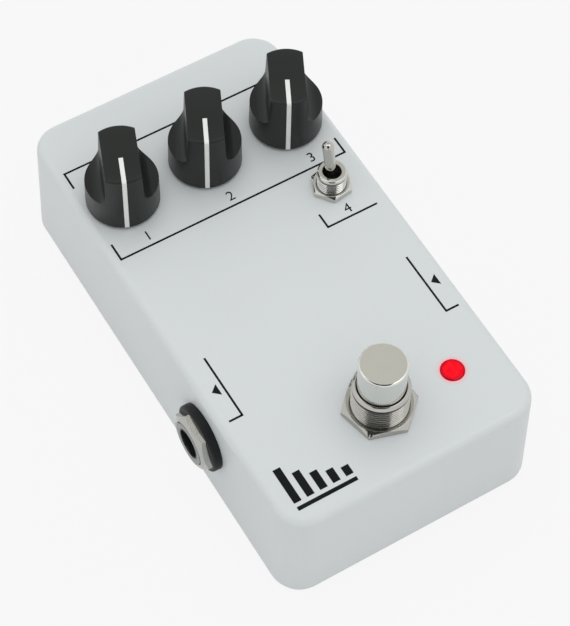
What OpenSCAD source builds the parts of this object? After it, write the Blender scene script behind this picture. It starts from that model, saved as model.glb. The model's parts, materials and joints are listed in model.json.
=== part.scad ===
// Tape echo pedal: a die-cast box with three knobs, a toggle switch, a footswitch,
// a lamp and three sockets, with the electronics that it holds.
// Origin at the middle of the underside, +X to the input side, +Y away from the player, +Z up.
// All sizes are in millimetres and all angles in degrees.

/* [Enclosure] */
// Length of the enclosure, front to back
case_l = 112; // [106:0.5:140]
// Width of the enclosure, side to side
case_w = 60.5; // [58:0.5:80]
// Height of the enclosure above its bottom cover
case_h = 27.5; // [26.5:0.5:40]
// Radius of the upright corners
case_corner_r = 6.6; // [5:0.2:9]
// How far each wall leans in between the rim and the top
case_draft = 0.53; // [0.1:0.01:1]
// Radius of the rounded edge around the top panel
case_edge_r = 1.8; // [0.6:0.1:2.2]
// Thickness of the side walls
case_wall = 2.2; // [1.6:0.1:2.6]
// Thickness of the top panel
case_roof = 2.4; // [1.8:0.1:3]

/* [Bottom cover] */
// Thickness of the bottom cover
cover_t = 1.6; // [1.2:0.1:2.5]
// How far the cover's edge lies inside the enclosure's edge
cover_inset = 0.8; // [0.2:0.1:1.2]
// Distance of the cover screws from the enclosure's edges
screw_edge = 6.4; // [5.8:0.1:8]
// Diameter of the posts that take the cover screws
post_d = 6.8; // [5.5:0.1:7.5]
// Thread diameter of the cover screws
screw_d = 2.6; // [2:0.1:3]
// Head diameter of the cover screws
screw_head_d = 5.4; // [4.4:0.1:6.4]
// Length of the cover screws
screw_l = 9; // [6:0.5:14]

/* [Layout] */
// Middle knob and footswitch: distance to the right of the middle
panel_x = 0.4; // [-1:0.1:1]
// Outer knobs: distance of their middles from the side edges
knob_side = 10.25; // [9:0.05:13]
// Distance of the knob row from the back edge
knob_edge = 25.4; // [20:0.1:27]
// Toggle switch: distance from the right edge
toggle_side = 10.05; // [9:0.05:18]
// Toggle switch: distance from the back edge
toggle_edge = 44.7; // [43:0.1:48]
// Footswitch: distance from the front edge
foot_edge = 16.5; // [14:0.1:17.5]
// Lamp: distance from the right edge
led_side = 12.55; // [9:0.05:16]
// Lamp: distance from the front edge
led_edge = 16.2; // [13:0.1:20]
// Signal sockets: distance from the front edge
jack_edge = 34.4; // [33.8:0.1:38]
// Signal sockets: distance of the bore below the top panel
jack_drop = 12.2; // [9.5:0.1:13]

/* [Knobs] */
// Diameter of the knob at its foot
knob_d = 15.8; // [15.2:0.1:17]
// Diameter of the knob at its top
knob_top_d = 14.9; // [12:0.1:15]
// Height of the knob
knob_h = 15.9; // [13:0.1:20]
// Width of the finger grip at its top
knob_grip_w = 7.6; // [7:0.1:9]
// Height of the scooped floors above the knob's foot
knob_floor = 6.5; // [5.5:0.1:7]
// Radius between a scooped floor and the grip
knob_scoop_r = 2.7; // [0.5:0.1:3]
// Gap between the knob and the top panel
knob_gap = 0.9; // [0.4:0.1:1.2]
// Width of the pointer line
pointer_w = 0.95; // [0.6:0.05:2]
// Where the pointer line starts, from the knob's middle
pointer_start = 1.35; // [0:0.05:4]
// Depth of the pointer line's inlay
pointer_t = 0.4; // [0.2:0.05:0.6]
// Angle of the pointer at the lowest setting, from the front towards the left
knob_rest_angle = 25; // [20:1:40]
// Diameter of the knob's set screw
set_screw_d = 3; // [2:0.1:3.4]

/* [Potentiometers] */
// Width of the potentiometer case
pot_w = 9.7; // [9:0.1:11]
// Length of the potentiometer case
pot_l = 11.4; // [10:0.1:12.5]
// Depth of the potentiometer case
pot_h = 6.8; // [6.4:0.1:7.4]
// Wall of the potentiometer case
pot_wall = 0.8; // [0.5:0.1:1]
// Diameter of the threaded bushing
pot_bush_d = 7; // [6.8:0.1:8]
// Diameter of the shaft
shaft_d = 6; // [5:0.1:6.2]
// Height of the shaft above the top panel
shaft_up = 11; // [9:0.5:12]
// Size of the potentiometer nut across its flats
pot_nut_af = 10; // [9:0.5:11]
// Height of the potentiometer nut
pot_nut_h = 2; // [1.5:0.1:2.4]
// Diameter of the potentiometer washer
pot_washer_d = 10.5; // [9:0.1:12]
// Thickness of the potentiometer washer
pot_washer_t = 0.5; // [0.3:0.1:0.8]

/* [Toggle switch] */
// Diameter of the toggle bushing
toggle_bush_d = 6.35; // [6.2:0.05:8]
// Height of the toggle bushing above the top panel
toggle_bush_up = 5.5; // [5:0.1:8]
// Size of the toggle nut across its flats
toggle_nut_af = 8; // [7.5:0.5:11]
// Height of the toggle nut
toggle_nut_h = 1.5; // [1.2:0.1:3]
// Height of the lever's pivot above the top panel
toggle_pivot_up = 3; // [2.8:0.1:3.2]
// Length of the lever above its pivot
toggle_lever_l = 10.2; // [8:0.1:16]
// Diameter of the lever at its tip
toggle_tip_d = 2.6; // [2:0.1:3.6]
// Tilt of the lever to either side of upright
toggle_tilt = 13; // [8:0.5:15]
// Width of the toggle case
toggle_case_w = 7.9; // [7:0.1:9]
// Length of the toggle case
toggle_case_l = 13.2; // [12.5:0.1:15]
// Depth of the toggle case
toggle_case_h = 8.2; // [7.8:0.1:8.4]

/* [Footswitch] */
// Diameter of the footswitch bushing
foot_bush_d = 12; // [11.9:0.1:14]
// Height of the footswitch bushing above the top panel
foot_bush_up = 8.8; // [8:0.1:14]
// Size of the footswitch nut across its flats
foot_nut_af = 14; // [13.6:0.1:18]
// Height of the footswitch nut
foot_nut_h = 1.8; // [1.5:0.1:4]
// Diameter of the button
foot_button_d = 10; // [8:0.1:10.2]
// Height of the button above its bushing
foot_button_up = 8; // [6:0.1:12]
// Travel of the button
foot_travel = 3; // [1.5:0.1:4]
// Width of the footswitch case, both ways
foot_case_w = 17.2; // [15:0.1:18]
// Depth of the footswitch case
foot_case_h = 14.4; // [13:0.1:15]
// Distance between solder lugs
lug_pitch = 4.8; // [4:0.1:5.2]
// Turns of the return spring
spring_turns = 5; // [3:1:6]
// Wire diameter of the return spring
spring_wire_d = 0.6; // [0.3:0.05:0.7]

/* [Lamp] */
// Diameter of the lamp
led_d = 5; // [3:0.1:6]
// Height of the lamp's dome above the top panel
led_up = 0.4; // [0.1:0.1:3]
// Length of the lamp from its flange to its tip
led_l = 8.6; // [7:0.1:10]

/* [Signal sockets] */
// Bore of the signal sockets, for a quarter-inch plug
jack_bore_d = 6.5; // [6.4:0.05:6.8]
// Outside diameter of the threaded sleeve
jack_sleeve_d = 9.5; // [9:0.1:10.5]
// Diameter of the washers outside the walls
jack_washer_d = 15; // [13:0.1:17]
// Size of the socket nuts across their flats
jack_nut_af = 12; // [11.5:0.1:14]
// Thickness of the washer at the output
output_washer_t = 1.9; // [0.4:0.1:3.5]
// Thickness of the nut at the output
output_nut_h = 1.9; // [1.3:0.1:3.5]
// Thickness of the washer at the input
input_washer_t = 0.4; // [0.4:0.1:3.5]
// Thickness of the nut at the input
input_nut_h = 1.5; // [1.3:0.1:3.5]
// Width of the socket housing
jack_w = 15.5; // [14:0.1:16.5]
// Height of the socket housing
jack_h = 15; // [14:0.1:16]
// Depth of the socket housing
jack_depth = 22; // [19:0.5:23]

/* [Power socket] */
// Width of the power socket
dc_w = 9; // [8.5:0.1:11]
// Height of the power socket
dc_h = 11; // [10:0.1:12]
// Depth of the power socket
dc_depth = 13.5; // [12:0.1:15]
// Diameter of its nose in the back wall
dc_nose_d = 8; // [7.6:0.1:8.4]
// Bore for the plug's barrel
dc_bore_d = 5.7; // [5.5:0.1:6]
// Diameter of the centre pin
dc_pin_d = 2.1; // [2:0.1:2.5]

/* [Boards and wiring] */
// Thickness of the circuit boards
board_t = 1.6; // [1:0.1:2]
// Distance of the main board below the top panel's underside
board_drop = 9.4; // [9.3:0.1:10.5]
// Distance of the switch board below the footswitch case
switch_board_drop = 2.6; // [1.5:0.1:3]
// Width of the ribbon cable
ribbon_w = 7.6; // [5:0.1:9]
// Thickness of the ribbon cable
ribbon_t = 0.9; // [0.6:0.1:1.2]
// Diameter of the socket wires
wire_d = 1.3; // [0.8:0.1:1.8]

/* [Clearances] */
// Radial clearance of a shaft or button in its bushing
run_clear = 0.04; // [0.02:0.01:0.08]
// Clearance between pieces that are pushed or screwed together
fit_clear = 0.1; // [0.05:0.01:0.2]
// Clearance of a bushing in its panel hole
hole_clear = 0.2; // [0.1:0.05:0.4]
// Clearance between a pin and its hole in a circuit board
pin_clear = 0.15; // [0.1:0.05:0.3]

/* [Hidden] */
$fn = 48;

// Facets of the rounded box, which is the only large faceted shape
case_fn = 40;
edge_steps = 4;
// Room that a cut takes beyond the face it goes through
past = 1;

// Heights of the main levels
top_z = cover_t + case_h;
roof_z = top_z - case_roof;
board_top_z = roof_z - board_drop;
board_z = board_top_z - board_t;

// Places on the top panel
knob_pitch = case_w / 2 - knob_side;
toggle_x = case_w / 2 - toggle_side;
led_x = case_w / 2 - led_side;
back_y = case_l / 2;
front_y = -case_l / 2;
knob_y = back_y - knob_edge;
toggle_y = back_y - toggle_edge;
foot_y = front_y + foot_edge;
led_y = front_y + led_edge;
jack_y = front_y + jack_edge;
jack_z = top_z - jack_drop;

// Lean of the walls
wall_run = case_h - case_edge_r;
wall_lean = atan(case_draft / wall_run);
function wall_in(z) = case_draft * (z - cover_t) / wall_run;

// Posts for the cover screws
post_x = case_w / 2 - screw_edge;
post_y = case_l / 2 - screw_edge;
screw_head_h = 1.4;
screw_slot_w = 0.8;
screw_slot_l = 3;
screw_slot_h = 0.7;

// Knob and potentiometer stack, upwards from the panel
knob_z = top_z + knob_gap;
pot_nut_top = pot_washer_t + pot_nut_h;
thread_spare = 0.6;
pot_bush_up = pot_nut_top + thread_spare;
nut_room = 0.8;
knob_cavity_r = pot_nut_af / sqrt(3) + nut_room;
knob_cavity_h = pot_bush_up - knob_gap + thread_spare;
knob_edge_r = 0.5;
knob_crown = 0.4;
knob_skirt_in = 0.1;
knob_grip_draft = 0.25;
shaft_spare = 0.5;
set_screw_z = (knob_cavity_h + shaft_up - knob_gap) / 2;
set_screw_l = 3.4;
pot_plate_t = 1.2;
pot_z = roof_z - pot_h;
wafer_t = 1.4;
pot_pin_r = 0.45;
pot_pin_pitch = 2.5;
pot_pin_back = 3.5;
pin_below = 1;
collar_lip = 0.4;
collar_r = shaft_d / 2 + collar_lip;
collar_h = 0.8;
stub_r = 1.5;
rotor_room = 0.4;
rotor_r = pot_w / 2 - pot_wall - rotor_room;
rotor_h = 1.4;
collar_z = roof_z - pot_plate_t - fit_clear - collar_h;
rotor_z = collar_z - rotor_h;
pot_x = [panel_x - knob_pitch, panel_x, panel_x + knob_pitch];
// Each knob sits a little differently on its shaft
pointer_trim = [-3, 1, 2];

// Toggle stack
toggle_plate_t = 0.8;
toggle_pivot_z = top_z + toggle_pivot_up;
toggle_ball_r = 2.3;
toggle_throat_r = 1.95;
toggle_throat_up = 1.4;
toggle_bore_r = toggle_ball_r + fit_clear;
toggle_shank_r = 0.5;
toggle_pin_r = 0.5;
toggle_pin_skin = 0.45;
toggle_pin_l = toggle_bush_d - 2 * toggle_pin_skin - 2 * fit_clear;
toggle_case_z = roof_z - toggle_plate_t - toggle_case_h;
toggle_skin = 1;
toggle_floor_t = 3.6;
toggle_floor_z = toggle_case_z + toggle_floor_t;
rocker_t = 0.5;
rocker_w = 2.6;
rocker_l = 9;
rocker_ratio = 0.6;
rocker_tilt = rocker_ratio * toggle_tilt;
rocker_pin_d = 0.55;
rocker_up = 0.9;
rocker_z = toggle_floor_z + rocker_up;
shank_room = 0.3;
toggle_shank_l = toggle_pivot_z - rocker_z - rocker_t / 2 - shank_room;
terminal_pitch = 4.7;
terminal_w = 2;
terminal_t = 0.8;

// Footswitch stack
foot_lock_nut_h = 1.5;
lock_washer_t = 0.5;
foot_plate_t = 0.8;
foot_shoulder_z = roof_z - lock_washer_t - foot_lock_nut_h;
foot_case_z = foot_shoulder_z - foot_plate_t - foot_case_h;
foot_top_z = top_z + foot_bush_up;
foot_bore_r = foot_button_d / 2 + run_clear;
foot_flange_lip = 0.3;
foot_flange_r = foot_button_d / 2 + foot_flange_lip;
foot_flange_bore_r = foot_flange_r + fit_clear;
foot_lip = 5;
foot_flange_h = 1;
foot_flange_z = foot_top_z - foot_lip - fit_clear - foot_flange_h;
foot_floor_t = 1;
foot_floor_z = foot_shoulder_z + foot_floor_t;
foot_stem_r = 1.5;
foot_stem_l = 14;
foot_stem_hole_r = foot_stem_r + hole_clear;
foot_button_edge = 0.45;
spring_r = 3.2;
spring_room = 0.05;
spring_z0 = foot_floor_z + spring_wire_d / 2 + spring_room;
spring_z1 = foot_flange_z - spring_wire_d / 2 - spring_room;
lug_w = 2.2;
lug_t = 0.8;
lug_below = 0.8;
switch_board_top = foot_case_z - switch_board_drop;
switch_board_z = switch_board_top - board_t;
switch_board_reach = 4.2;
switch_board_front = foot_y + foot_case_w / 2 + switch_board_reach;
switch_board_rim = 1;
led_tongue = 3;

// Lamp stack
led_flange_h = 1;
led_flange_lip = 0.4;
led_flange_r = led_d / 2 + led_flange_lip;
led_z = top_z + led_up - led_l;
led_lead = 0.5;
led_lead_pitch = 2.54;

// Signal socket, along its own axis outwards from the wall's outer face
jack_wall_x = case_w / 2 - wall_in(jack_z);
jack_seat = 0.3;
jack_face = -case_wall - jack_seat;
jack_back = jack_face - jack_depth;
jack_front_t = 2.5;
jack_skin = 1.3;
sleeve_flange_t = 1;
sleeve_flange_lip = 1;
sleeve_flange_r = jack_sleeve_d / 2 + sleeve_flange_lip;
sleeve_lug_in = 2;
sleeve_flange_z = jack_face - jack_front_t - sleeve_flange_t;
jack_lug_w = 2.4;
jack_lug_l = 3;
wire_bend_r = 2.8;
jack_lug_up = board_top_z + wire_bend_r - jack_z;
tip_spring_t = 0.4;
tip_spring_l = 11;
tip_bend_l = 7.7;
tip_bore_gap = 0.3;
tip_spring_room = 0.6;
tip_spring_y = jack_w / 2 - jack_skin - tip_spring_room;
tip_spring_z = jack_back + jack_skin + tip_spring_room;
tip_lug_in = 0.4;
tip_lug_z = tip_spring_z + tip_lug_in;
tip_lug_t = 1;

// Power socket, along its own axis outwards from the back wall's outer face
dc_z = board_z - dc_h / 2;
dc_wall_y = back_y - wall_in(dc_z);
dc_face = -case_wall - jack_seat;
dc_back = dc_face - dc_depth;
dc_nose_in = 0.3;
dc_back_t = 3;
dc_bore_l = dc_depth - dc_back_t;
dc_pin_in = 1.5;
dc_spring_gap = 0.4;
dc_spring_t = 0.4;
dc_spring_w = 2.4;
dc_tail = 1.2;

// Boards and the small pieces on the main board
board_side = 2.2;
board_front_gap = 4;
board_back_gap = 2.5;
board_post_gap = 1;
board_front = jack_y + jack_w / 2 + board_front_gap;
board_back = back_y - case_wall - board_back_gap;
board_notch = screw_edge + post_d / 2 + board_post_gap;
resistor_d = 2.3;
resistor_l = 6.3;
resistor_span = 9;
resistor_pitch = 5.5;
resistor_x = -3;
resistor_row = 9.2;
resistor_y = board_front + resistor_row;
chip_w = 6.4;
chip_h = 3.4;
chip_leg_pitch = 2.54;
long_chip_x = -13;
short_chip_x = 4;
chip_row = 9.6;
chip_y = resistor_y + chip_row;
film_l = 7.2;
film_w = 2.6;
film_h = 6;
film_pitch = 9;
film_row = 10;
film_y = knob_y - film_row;
small_can_d = 5;
small_can_h = 7;
small_can_row = 1;
small_can_y = knob_y + small_can_row;
large_can_d = 6.3;
large_can_h = 8;
large_can_pitch = 8;
large_can_row = 8;
large_can_y = knob_y + large_can_row;

// Ribbon cable route in the lengthwise plane, from the main board to the switch board
ribbon_in = 3;
ribbon_drop = 8;
ribbon_bow = 6;
ribbon_flat_z = switch_board_top + ribbon_t / 2;
ribbon_route = [
    [board_front + ribbon_in, board_z],
    [board_front + ribbon_in, board_z - ribbon_drop],
    [board_front, ribbon_flat_z],
    [switch_board_front + ribbon_bow, ribbon_flat_z],
    [switch_board_front, ribbon_flat_z],
    [switch_board_front - ribbon_in, ribbon_flat_z]
];
ribbon_steps = 24;

// Colours
case_white = [0.83, 0.845, 0.845];
knob_black = [0.13, 0.14, 0.14];
line_white = [0.93, 0.93, 0.92];
nickel = [0.74, 0.74, 0.72];
steel = [0.62, 0.63, 0.64];
brass = [0.76, 0.62, 0.32];
board_green = [0.09, 0.33, 0.2];
black_plastic = [0.1, 0.11, 0.12];
phenolic = [0.45, 0.27, 0.14];
blue_plastic = [0.12, 0.3, 0.62];
red_lens = [0.95, 0.06, 0.1];
ribbon_grey = [0.6, 0.61, 0.63];

// Shared shapes

// A drafted box with round corners and a rounded top edge, standing on z = 0
module soft_box(w, l, h, r, draft, edge) {
    arc = [for (i = [0:edge_steps]) 90 * i / edge_steps];
    outline = concat(
        [[0, 0], [r, 0]],
        [for (a = arc) [r - draft - edge + edge * cos(a), h - edge + edge * sin(a)]],
        [[0, h]]
    );
    hull()
        for (sx = [-1, 1], sy = [-1, 1])
            translate([sx * (w / 2 - r), sy * (l / 2 - r), 0])
                rotate_extrude($fn = case_fn) polygon(outline);
}

// A plate with round corners, standing on z = 0
module round_plate(w, l, r, h) {
    linear_extrude(h) {
        square([w - 2 * r, l], center = true);
        square([w, l - 2 * r], center = true);
        for (sx = [-1, 1], sy = [-1, 1])
            translate([sx * (w / 2 - r), sy * (l / 2 - r)]) circle(r);
    }
}

// A box centred in x and y that stands on z = 0
module block(w, l, h) {
    translate([-w / 2, -l / 2, 0]) cube([w, l, h]);
}

// A round washer that stands on z = 0
module ring(outer_r, inner_r, h) {
    difference() {
        cylinder(r = outer_r, h = h);
        translate([0, 0, -past]) cylinder(r = inner_r, h = h + 2 * past);
    }
}

// A hexagon nut whose upper corners are turned off
module hex_nut(af, h, inner_r) {
    corner_r = af / sqrt(3);
    turned = corner_r - af / 2;
    difference() {
        intersection() {
            cylinder(r = corner_r, h = h, $fn = 6);
            rotate_extrude()
                polygon([[0, 0], [corner_r, 0], [corner_r, h - turned], [af / 2, h], [0, h]]);
        }
        translate([0, 0, -past]) cylinder(r = inner_r, h = h + 2 * past);
    }
}

// Places

module at_pot(i) {
    translate([pot_x[i], knob_y, 0]) children();
}

module at_knob(i) {
    translate([pot_x[i], knob_y, knob_z]) rotate(-knob_rest_angle - pointer_trim[i]) children();
}

module at_toggle() {
    translate([toggle_x, toggle_y, 0]) children();
}

module at_foot() {
    translate([panel_x, foot_y, 0]) children();
}

module at_led() {
    translate([led_x, led_y, 0]) children();
}

module at_posts() {
    for (sx = [-1, 1], sy = [-1, 1]) translate([sx * post_x, sy * post_y, 0]) children();
}

// Right-hand socket: z runs outwards, y stays lengthwise and x points down
module at_jack() {
    translate([jack_wall_x, jack_y, jack_z]) rotate([0, 90, 0]) children();
}

// Power socket: z runs outwards, x stays sideways and y points down
module at_dc() {
    translate([0, dc_wall_y, dc_z]) rotate([-90, 0, 0]) children();
}

// Enclosure and cover

module case_shell() {
    cavity_h = case_h - case_roof;
    cavity_edge = 0.6;
    difference() {
        soft_box(case_w, case_l, case_h, case_corner_r, case_draft, case_edge_r);
        translate([0, 0, -past])
            soft_box(
                case_w - 2 * case_wall, case_l - 2 * case_wall, cavity_h + past,
                case_corner_r - case_wall, case_draft * cavity_h / wall_run, cavity_edge
            );
    }
}

module panel_hole(d) {
    translate([0, 0, roof_z - past]) cylinder(d = d + 2 * hole_clear, h = case_roof + 2 * past);
}

module enclosure() {
    post_h = roof_z - cover_t + past;
    color(case_white)
        difference() {
            union() {
                translate([0, 0, cover_t]) case_shell();
                at_posts() translate([0, 0, cover_t]) cylinder(d = post_d, h = post_h);
            }
            for (i = [0:2]) at_pot(i) panel_hole(pot_bush_d);
            at_toggle() panel_hole(toggle_bush_d);
            at_foot() panel_hole(foot_bush_d);
            at_led() panel_hole(led_d - hole_clear);
            for (side = [0, 1])
                mirror([side, 0, 0]) at_jack()
                    translate([0, 0, -case_wall - past])
                        cylinder(d = jack_sleeve_d + 2 * hole_clear, h = case_wall + 2 * past);
            at_dc()
                translate([0, 0, -case_wall - past])
                    cylinder(d = dc_nose_d + 2 * hole_clear, h = case_wall + 2 * past);
            at_posts()
                cylinder(d = screw_d + 2 * fit_clear, h = screw_l + past);
        }
}

module bottom_cover() {
    color(case_white)
        difference() {
            round_plate(
                case_w - 2 * cover_inset, case_l - 2 * cover_inset,
                case_corner_r - cover_inset, cover_t
            );
            at_posts() {
                translate([0, 0, -past])
                    cylinder(d = screw_d + 2 * fit_clear, h = cover_t + 2 * past);
                cylinder(
                    d1 = screw_head_d + 2 * fit_clear, d2 = screw_d + 2 * fit_clear,
                    h = screw_head_h
                );
            }
        }
}

module cover_screws() {
    color(steel)
        at_posts()
            difference() {
                union() {
                    cylinder(d1 = screw_head_d, d2 = screw_d, h = screw_head_h);
                    cylinder(d = screw_d, h = screw_l);
                }
                for (turn = [0, 90])
                    rotate(turn) translate([0, 0, -past])
                        block(screw_slot_l, screw_slot_w, screw_slot_h + past);
            }
}

// Knobs

// Half outline of the knob, drawn in by an inset all round
function knob_outline(inset) = concat(
    [[0, 0], [knob_d / 2 - inset, 0], [knob_d / 2 - knob_skirt_in - inset, knob_floor]],
    [for (i = [0:edge_steps])
        [
            knob_top_d / 2 - inset - knob_edge_r * (1 - cos(90 * i / edge_steps)),
            knob_h - knob_crown - inset - knob_edge_r * (1 - sin(90 * i / edge_steps))
        ]],
    [[knob_top_d / 4, knob_h - knob_crown / 4 - inset], [0, knob_h - inset]]
);

module knob_body(inset) {
    rotate_extrude() polygon(knob_outline(inset));
}

// The strip of the knob's skin that the pointer line takes up, towards -Y
module pointer_strip(outset) {
    intersection() {
        difference() {
            knob_body(-outset);
            knob_body(pointer_t);
        }
        translate([-pointer_w / 2, -knob_d, -past])
            cube([pointer_w, knob_d - pointer_start, knob_h + 2 * past]);
    }
}

// One scoop beside the grip, on the +X side
module knob_scoop() {
    top = knob_grip_w / 2;
    foot = top + knob_grip_draft;
    fillet = [for (i = [0:6])
        [
            foot + knob_scoop_r * (1 - cos(15 * i)),
            knob_floor + knob_scoop_r * (1 - sin(15 * i))
        ]];
    rotate([90, 0, 0])
        linear_extrude(2 * knob_d, center = true)
            polygon(concat(
                [[knob_d, knob_h + past], [top, knob_h + past], [top, knob_h]],
                fillet,
                [[knob_d, knob_floor]]
            ));
}

module knob_shape() {
    difference() {
        knob_body(0);
        for (side = [0, 1]) mirror([side, 0, 0]) knob_scoop();
        translate([0, 0, -past]) cylinder(r = knob_cavity_r, h = knob_cavity_h + past);
        cylinder(d = shaft_d + 2 * run_clear, h = shaft_up - knob_gap + shaft_spare);
        translate([0, 0, set_screw_z]) rotate([-90, 0, 0])
            cylinder(d = set_screw_d + 2 * run_clear, h = knob_d);
        pointer_strip(past);
    }
}

module set_screw_shape() {
    translate([0, shaft_d / 2 + run_clear, set_screw_z]) rotate([-90, 0, 0])
        difference() {
            cylinder(d = set_screw_d, h = set_screw_l);
            translate([0, 0, set_screw_l - past])
                cylinder(d = set_screw_d / 2, h = 2 * past, $fn = 6);
        }
}

module mix_knob() { color(knob_black) at_knob(0) knob_shape(); }
module speed_knob() { color(knob_black) at_knob(1) knob_shape(); }
module repeats_knob() { color(knob_black) at_knob(2) knob_shape(); }

module mix_pointer_line() { color(line_white) at_knob(0) pointer_strip(0); }
module speed_pointer_line() { color(line_white) at_knob(1) pointer_strip(0); }
module repeats_pointer_line() { color(line_white) at_knob(2) pointer_strip(0); }

module mix_set_screw() { color(steel) at_knob(0) set_screw_shape(); }
module speed_set_screw() { color(steel) at_knob(1) set_screw_shape(); }
module repeats_set_screw() { color(steel) at_knob(2) set_screw_shape(); }

// Potentiometers

module pot_case_shape() {
    difference() {
        union() {
            translate([0, 0, pot_z]) block(pot_w, pot_l, pot_h);
            translate([0, 0, roof_z - past])
                cylinder(d = pot_bush_d, h = case_roof + pot_bush_up + past);
        }
        translate([0, 0, pot_z - past])
            block(pot_w - 2 * pot_wall, pot_l - 2 * pot_wall, pot_h - pot_plate_t + past);
        cylinder(d = shaft_d + 2 * run_clear, h = top_z + pot_bush_up + past);
    }
}

module mix_pot_case() { color(steel) at_pot(0) pot_case_shape(); }
module speed_pot_case() { color(steel) at_pot(1) pot_case_shape(); }
module repeats_pot_case() { color(steel) at_pot(2) pot_case_shape(); }

module pot_shaft_shape() {
    translate([0, 0, collar_z]) cylinder(d = shaft_d, h = top_z + shaft_up - collar_z);
    translate([0, 0, collar_z]) cylinder(r = collar_r, h = collar_h);
    translate([0, 0, rotor_z]) cylinder(r = stub_r, h = rotor_h + past);
}

module mix_pot_shaft() { color(nickel) at_pot(0) pot_shaft_shape(); }
module speed_pot_shaft() { color(nickel) at_pot(1) pot_shaft_shape(); }
module repeats_pot_shaft() { color(nickel) at_pot(2) pot_shaft_shape(); }

// The wiper's disc on the shaft's stub, with its contact finger beneath
module wiper_shape() {
    finger_w = 1.2;
    finger_h = 0.6;
    finger_room = 0.2;
    finger_l = rotor_r - stub_r - 2 * finger_room;
    difference() {
        union() {
            translate([0, 0, rotor_z]) cylinder(r = rotor_r, h = rotor_h);
            translate([-finger_w / 2, -rotor_r + finger_room, rotor_z - finger_h])
                cube([finger_w, finger_l, finger_h + past / 2]);
        }
        translate([0, 0, rotor_z - past]) cylinder(r = stub_r + run_clear, h = rotor_h + 2 * past);
    }
}

module mix_wiper() { color(brass) at_pot(0) rotate(-knob_rest_angle) wiper_shape(); }
module speed_wiper() { color(brass) at_pot(1) rotate(-knob_rest_angle) wiper_shape(); }
module repeats_wiper() { color(brass) at_pot(2) rotate(-knob_rest_angle) wiper_shape(); }

module pot_pins(r, z0, z1) {
    for (k = [-1:1])
        translate([k * pot_pin_pitch, -pot_pin_back, z0]) cylinder(r = r, h = z1 - z0);
}

module pot_wafers() {
    color(phenolic)
        for (i = [0:2]) at_pot(i) {
            translate([0, 0, pot_z])
                block(
                    pot_w - 2 * pot_wall - 2 * fit_clear,
                    pot_l - 2 * pot_wall - 2 * fit_clear, wafer_t
                );
            pot_pins(pot_pin_r, board_z - pin_below, pot_z + wafer_t / 2);
        }
}

module pot_washers() {
    color(nickel)
        for (i = [0:2]) at_pot(i)
            translate([0, 0, top_z])
                ring(pot_washer_d / 2, pot_bush_d / 2 + fit_clear, pot_washer_t);
}

module pot_nuts() {
    color(nickel)
        for (i = [0:2]) at_pot(i)
            translate([0, 0, top_z + pot_washer_t])
                hex_nut(pot_nut_af, pot_nut_h, pot_bush_d / 2 + fit_clear);
}

// Toggle switch

module toggle_bushing() {
    chamfer = 0.35;
    bush_r = toggle_bush_d / 2;
    bush_top = top_z + toggle_bush_up;
    throat_z = toggle_pivot_z + toggle_throat_up;
    color(nickel)
        at_toggle()
            difference() {
                union() {
                    translate([0, 0, roof_z - toggle_plate_t])
                        block(toggle_case_w, toggle_case_l, toggle_plate_t);
                    translate([0, 0, roof_z - toggle_plate_t])
                        cylinder(r = bush_r, h = bush_top - chamfer - roof_z + toggle_plate_t);
                    translate([0, 0, bush_top - chamfer])
                        cylinder(r1 = bush_r, r2 = bush_r - chamfer, h = chamfer);
                }
                cylinder(r = toggle_bore_r, h = throat_z);
                cylinder(r = toggle_throat_r, h = bush_top + past);
                toggle_pin(toggle_pin_r + run_clear, toggle_pin_l + 2 * fit_clear);
            }
}

module toggle_nut() {
    nut_turn = 8;
    color(nickel)
        at_toggle() translate([0, 0, top_z]) rotate(nut_turn)
            hex_nut(toggle_nut_af, toggle_nut_h, toggle_bush_d / 2 + fit_clear);
}

// The pivot pin across the lever's ball, along X
module toggle_pin(r, l) {
    translate([0, 0, toggle_pivot_z]) rotate([0, 90, 0]) cylinder(r = r, h = l, center = true);
}

// The lever leans away from the player, with its ball and pin in the bushing
module toggle_lever() {
    tip_r = toggle_tip_d / 2;
    neck_r = 1.05;
    color(nickel) {
        at_toggle() toggle_pin(toggle_pin_r, toggle_pin_l);
        translate([toggle_x, toggle_y, toggle_pivot_z]) rotate([-toggle_tilt, 0, 0]) {
            sphere(r = toggle_ball_r);
            cylinder(r1 = neck_r, r2 = tip_r, h = toggle_lever_l - tip_r);
            translate([0, 0, toggle_lever_l - tip_r]) sphere(r = tip_r);
            translate([0, 0, -toggle_shank_l]) cylinder(r = toggle_shank_r, h = toggle_shank_l);
        }
    }
}

module terminal_slots(extra, z0, z1) {
    for (k = [-1:1])
        translate([0, k * terminal_pitch, z0])
            block(terminal_w + extra, terminal_t + extra, z1 - z0);
}

module toggle_case() {
    color(blue_plastic)
        at_toggle()
            difference() {
                translate([0, 0, toggle_case_z]) block(toggle_case_w, toggle_case_l, toggle_case_h);
                translate([0, 0, toggle_floor_z])
                    block(
                        toggle_case_w - 2 * toggle_skin, toggle_case_l - 2 * toggle_skin,
                        toggle_case_h
                    );
                terminal_slots(2 * fit_clear, toggle_case_z - past, toggle_floor_z + past);
            }
}

// The middle terminal carries the rocker, and the outer two end at the case's floor
module toggle_terminals() {
    below = board_z - pin_below;
    color(brass)
        at_toggle() {
            terminal_slots(0, below, toggle_floor_z);
            translate([0, 0, toggle_floor_z - past / 2])
                block(terminal_w, terminal_t, rocker_z - rocker_t - toggle_floor_z);
        }
}

module toggle_rocker() {
    color(brass)
        translate([toggle_x, toggle_y, rocker_z]) rotate([rocker_tilt, 0, 0]) {
            translate([0, 0, -rocker_t / 2]) block(rocker_w, rocker_l, rocker_t);
            rotate([0, 90, 0]) cylinder(d = rocker_pin_d, h = rocker_w, center = true);
        }
}

// Footswitch

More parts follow.
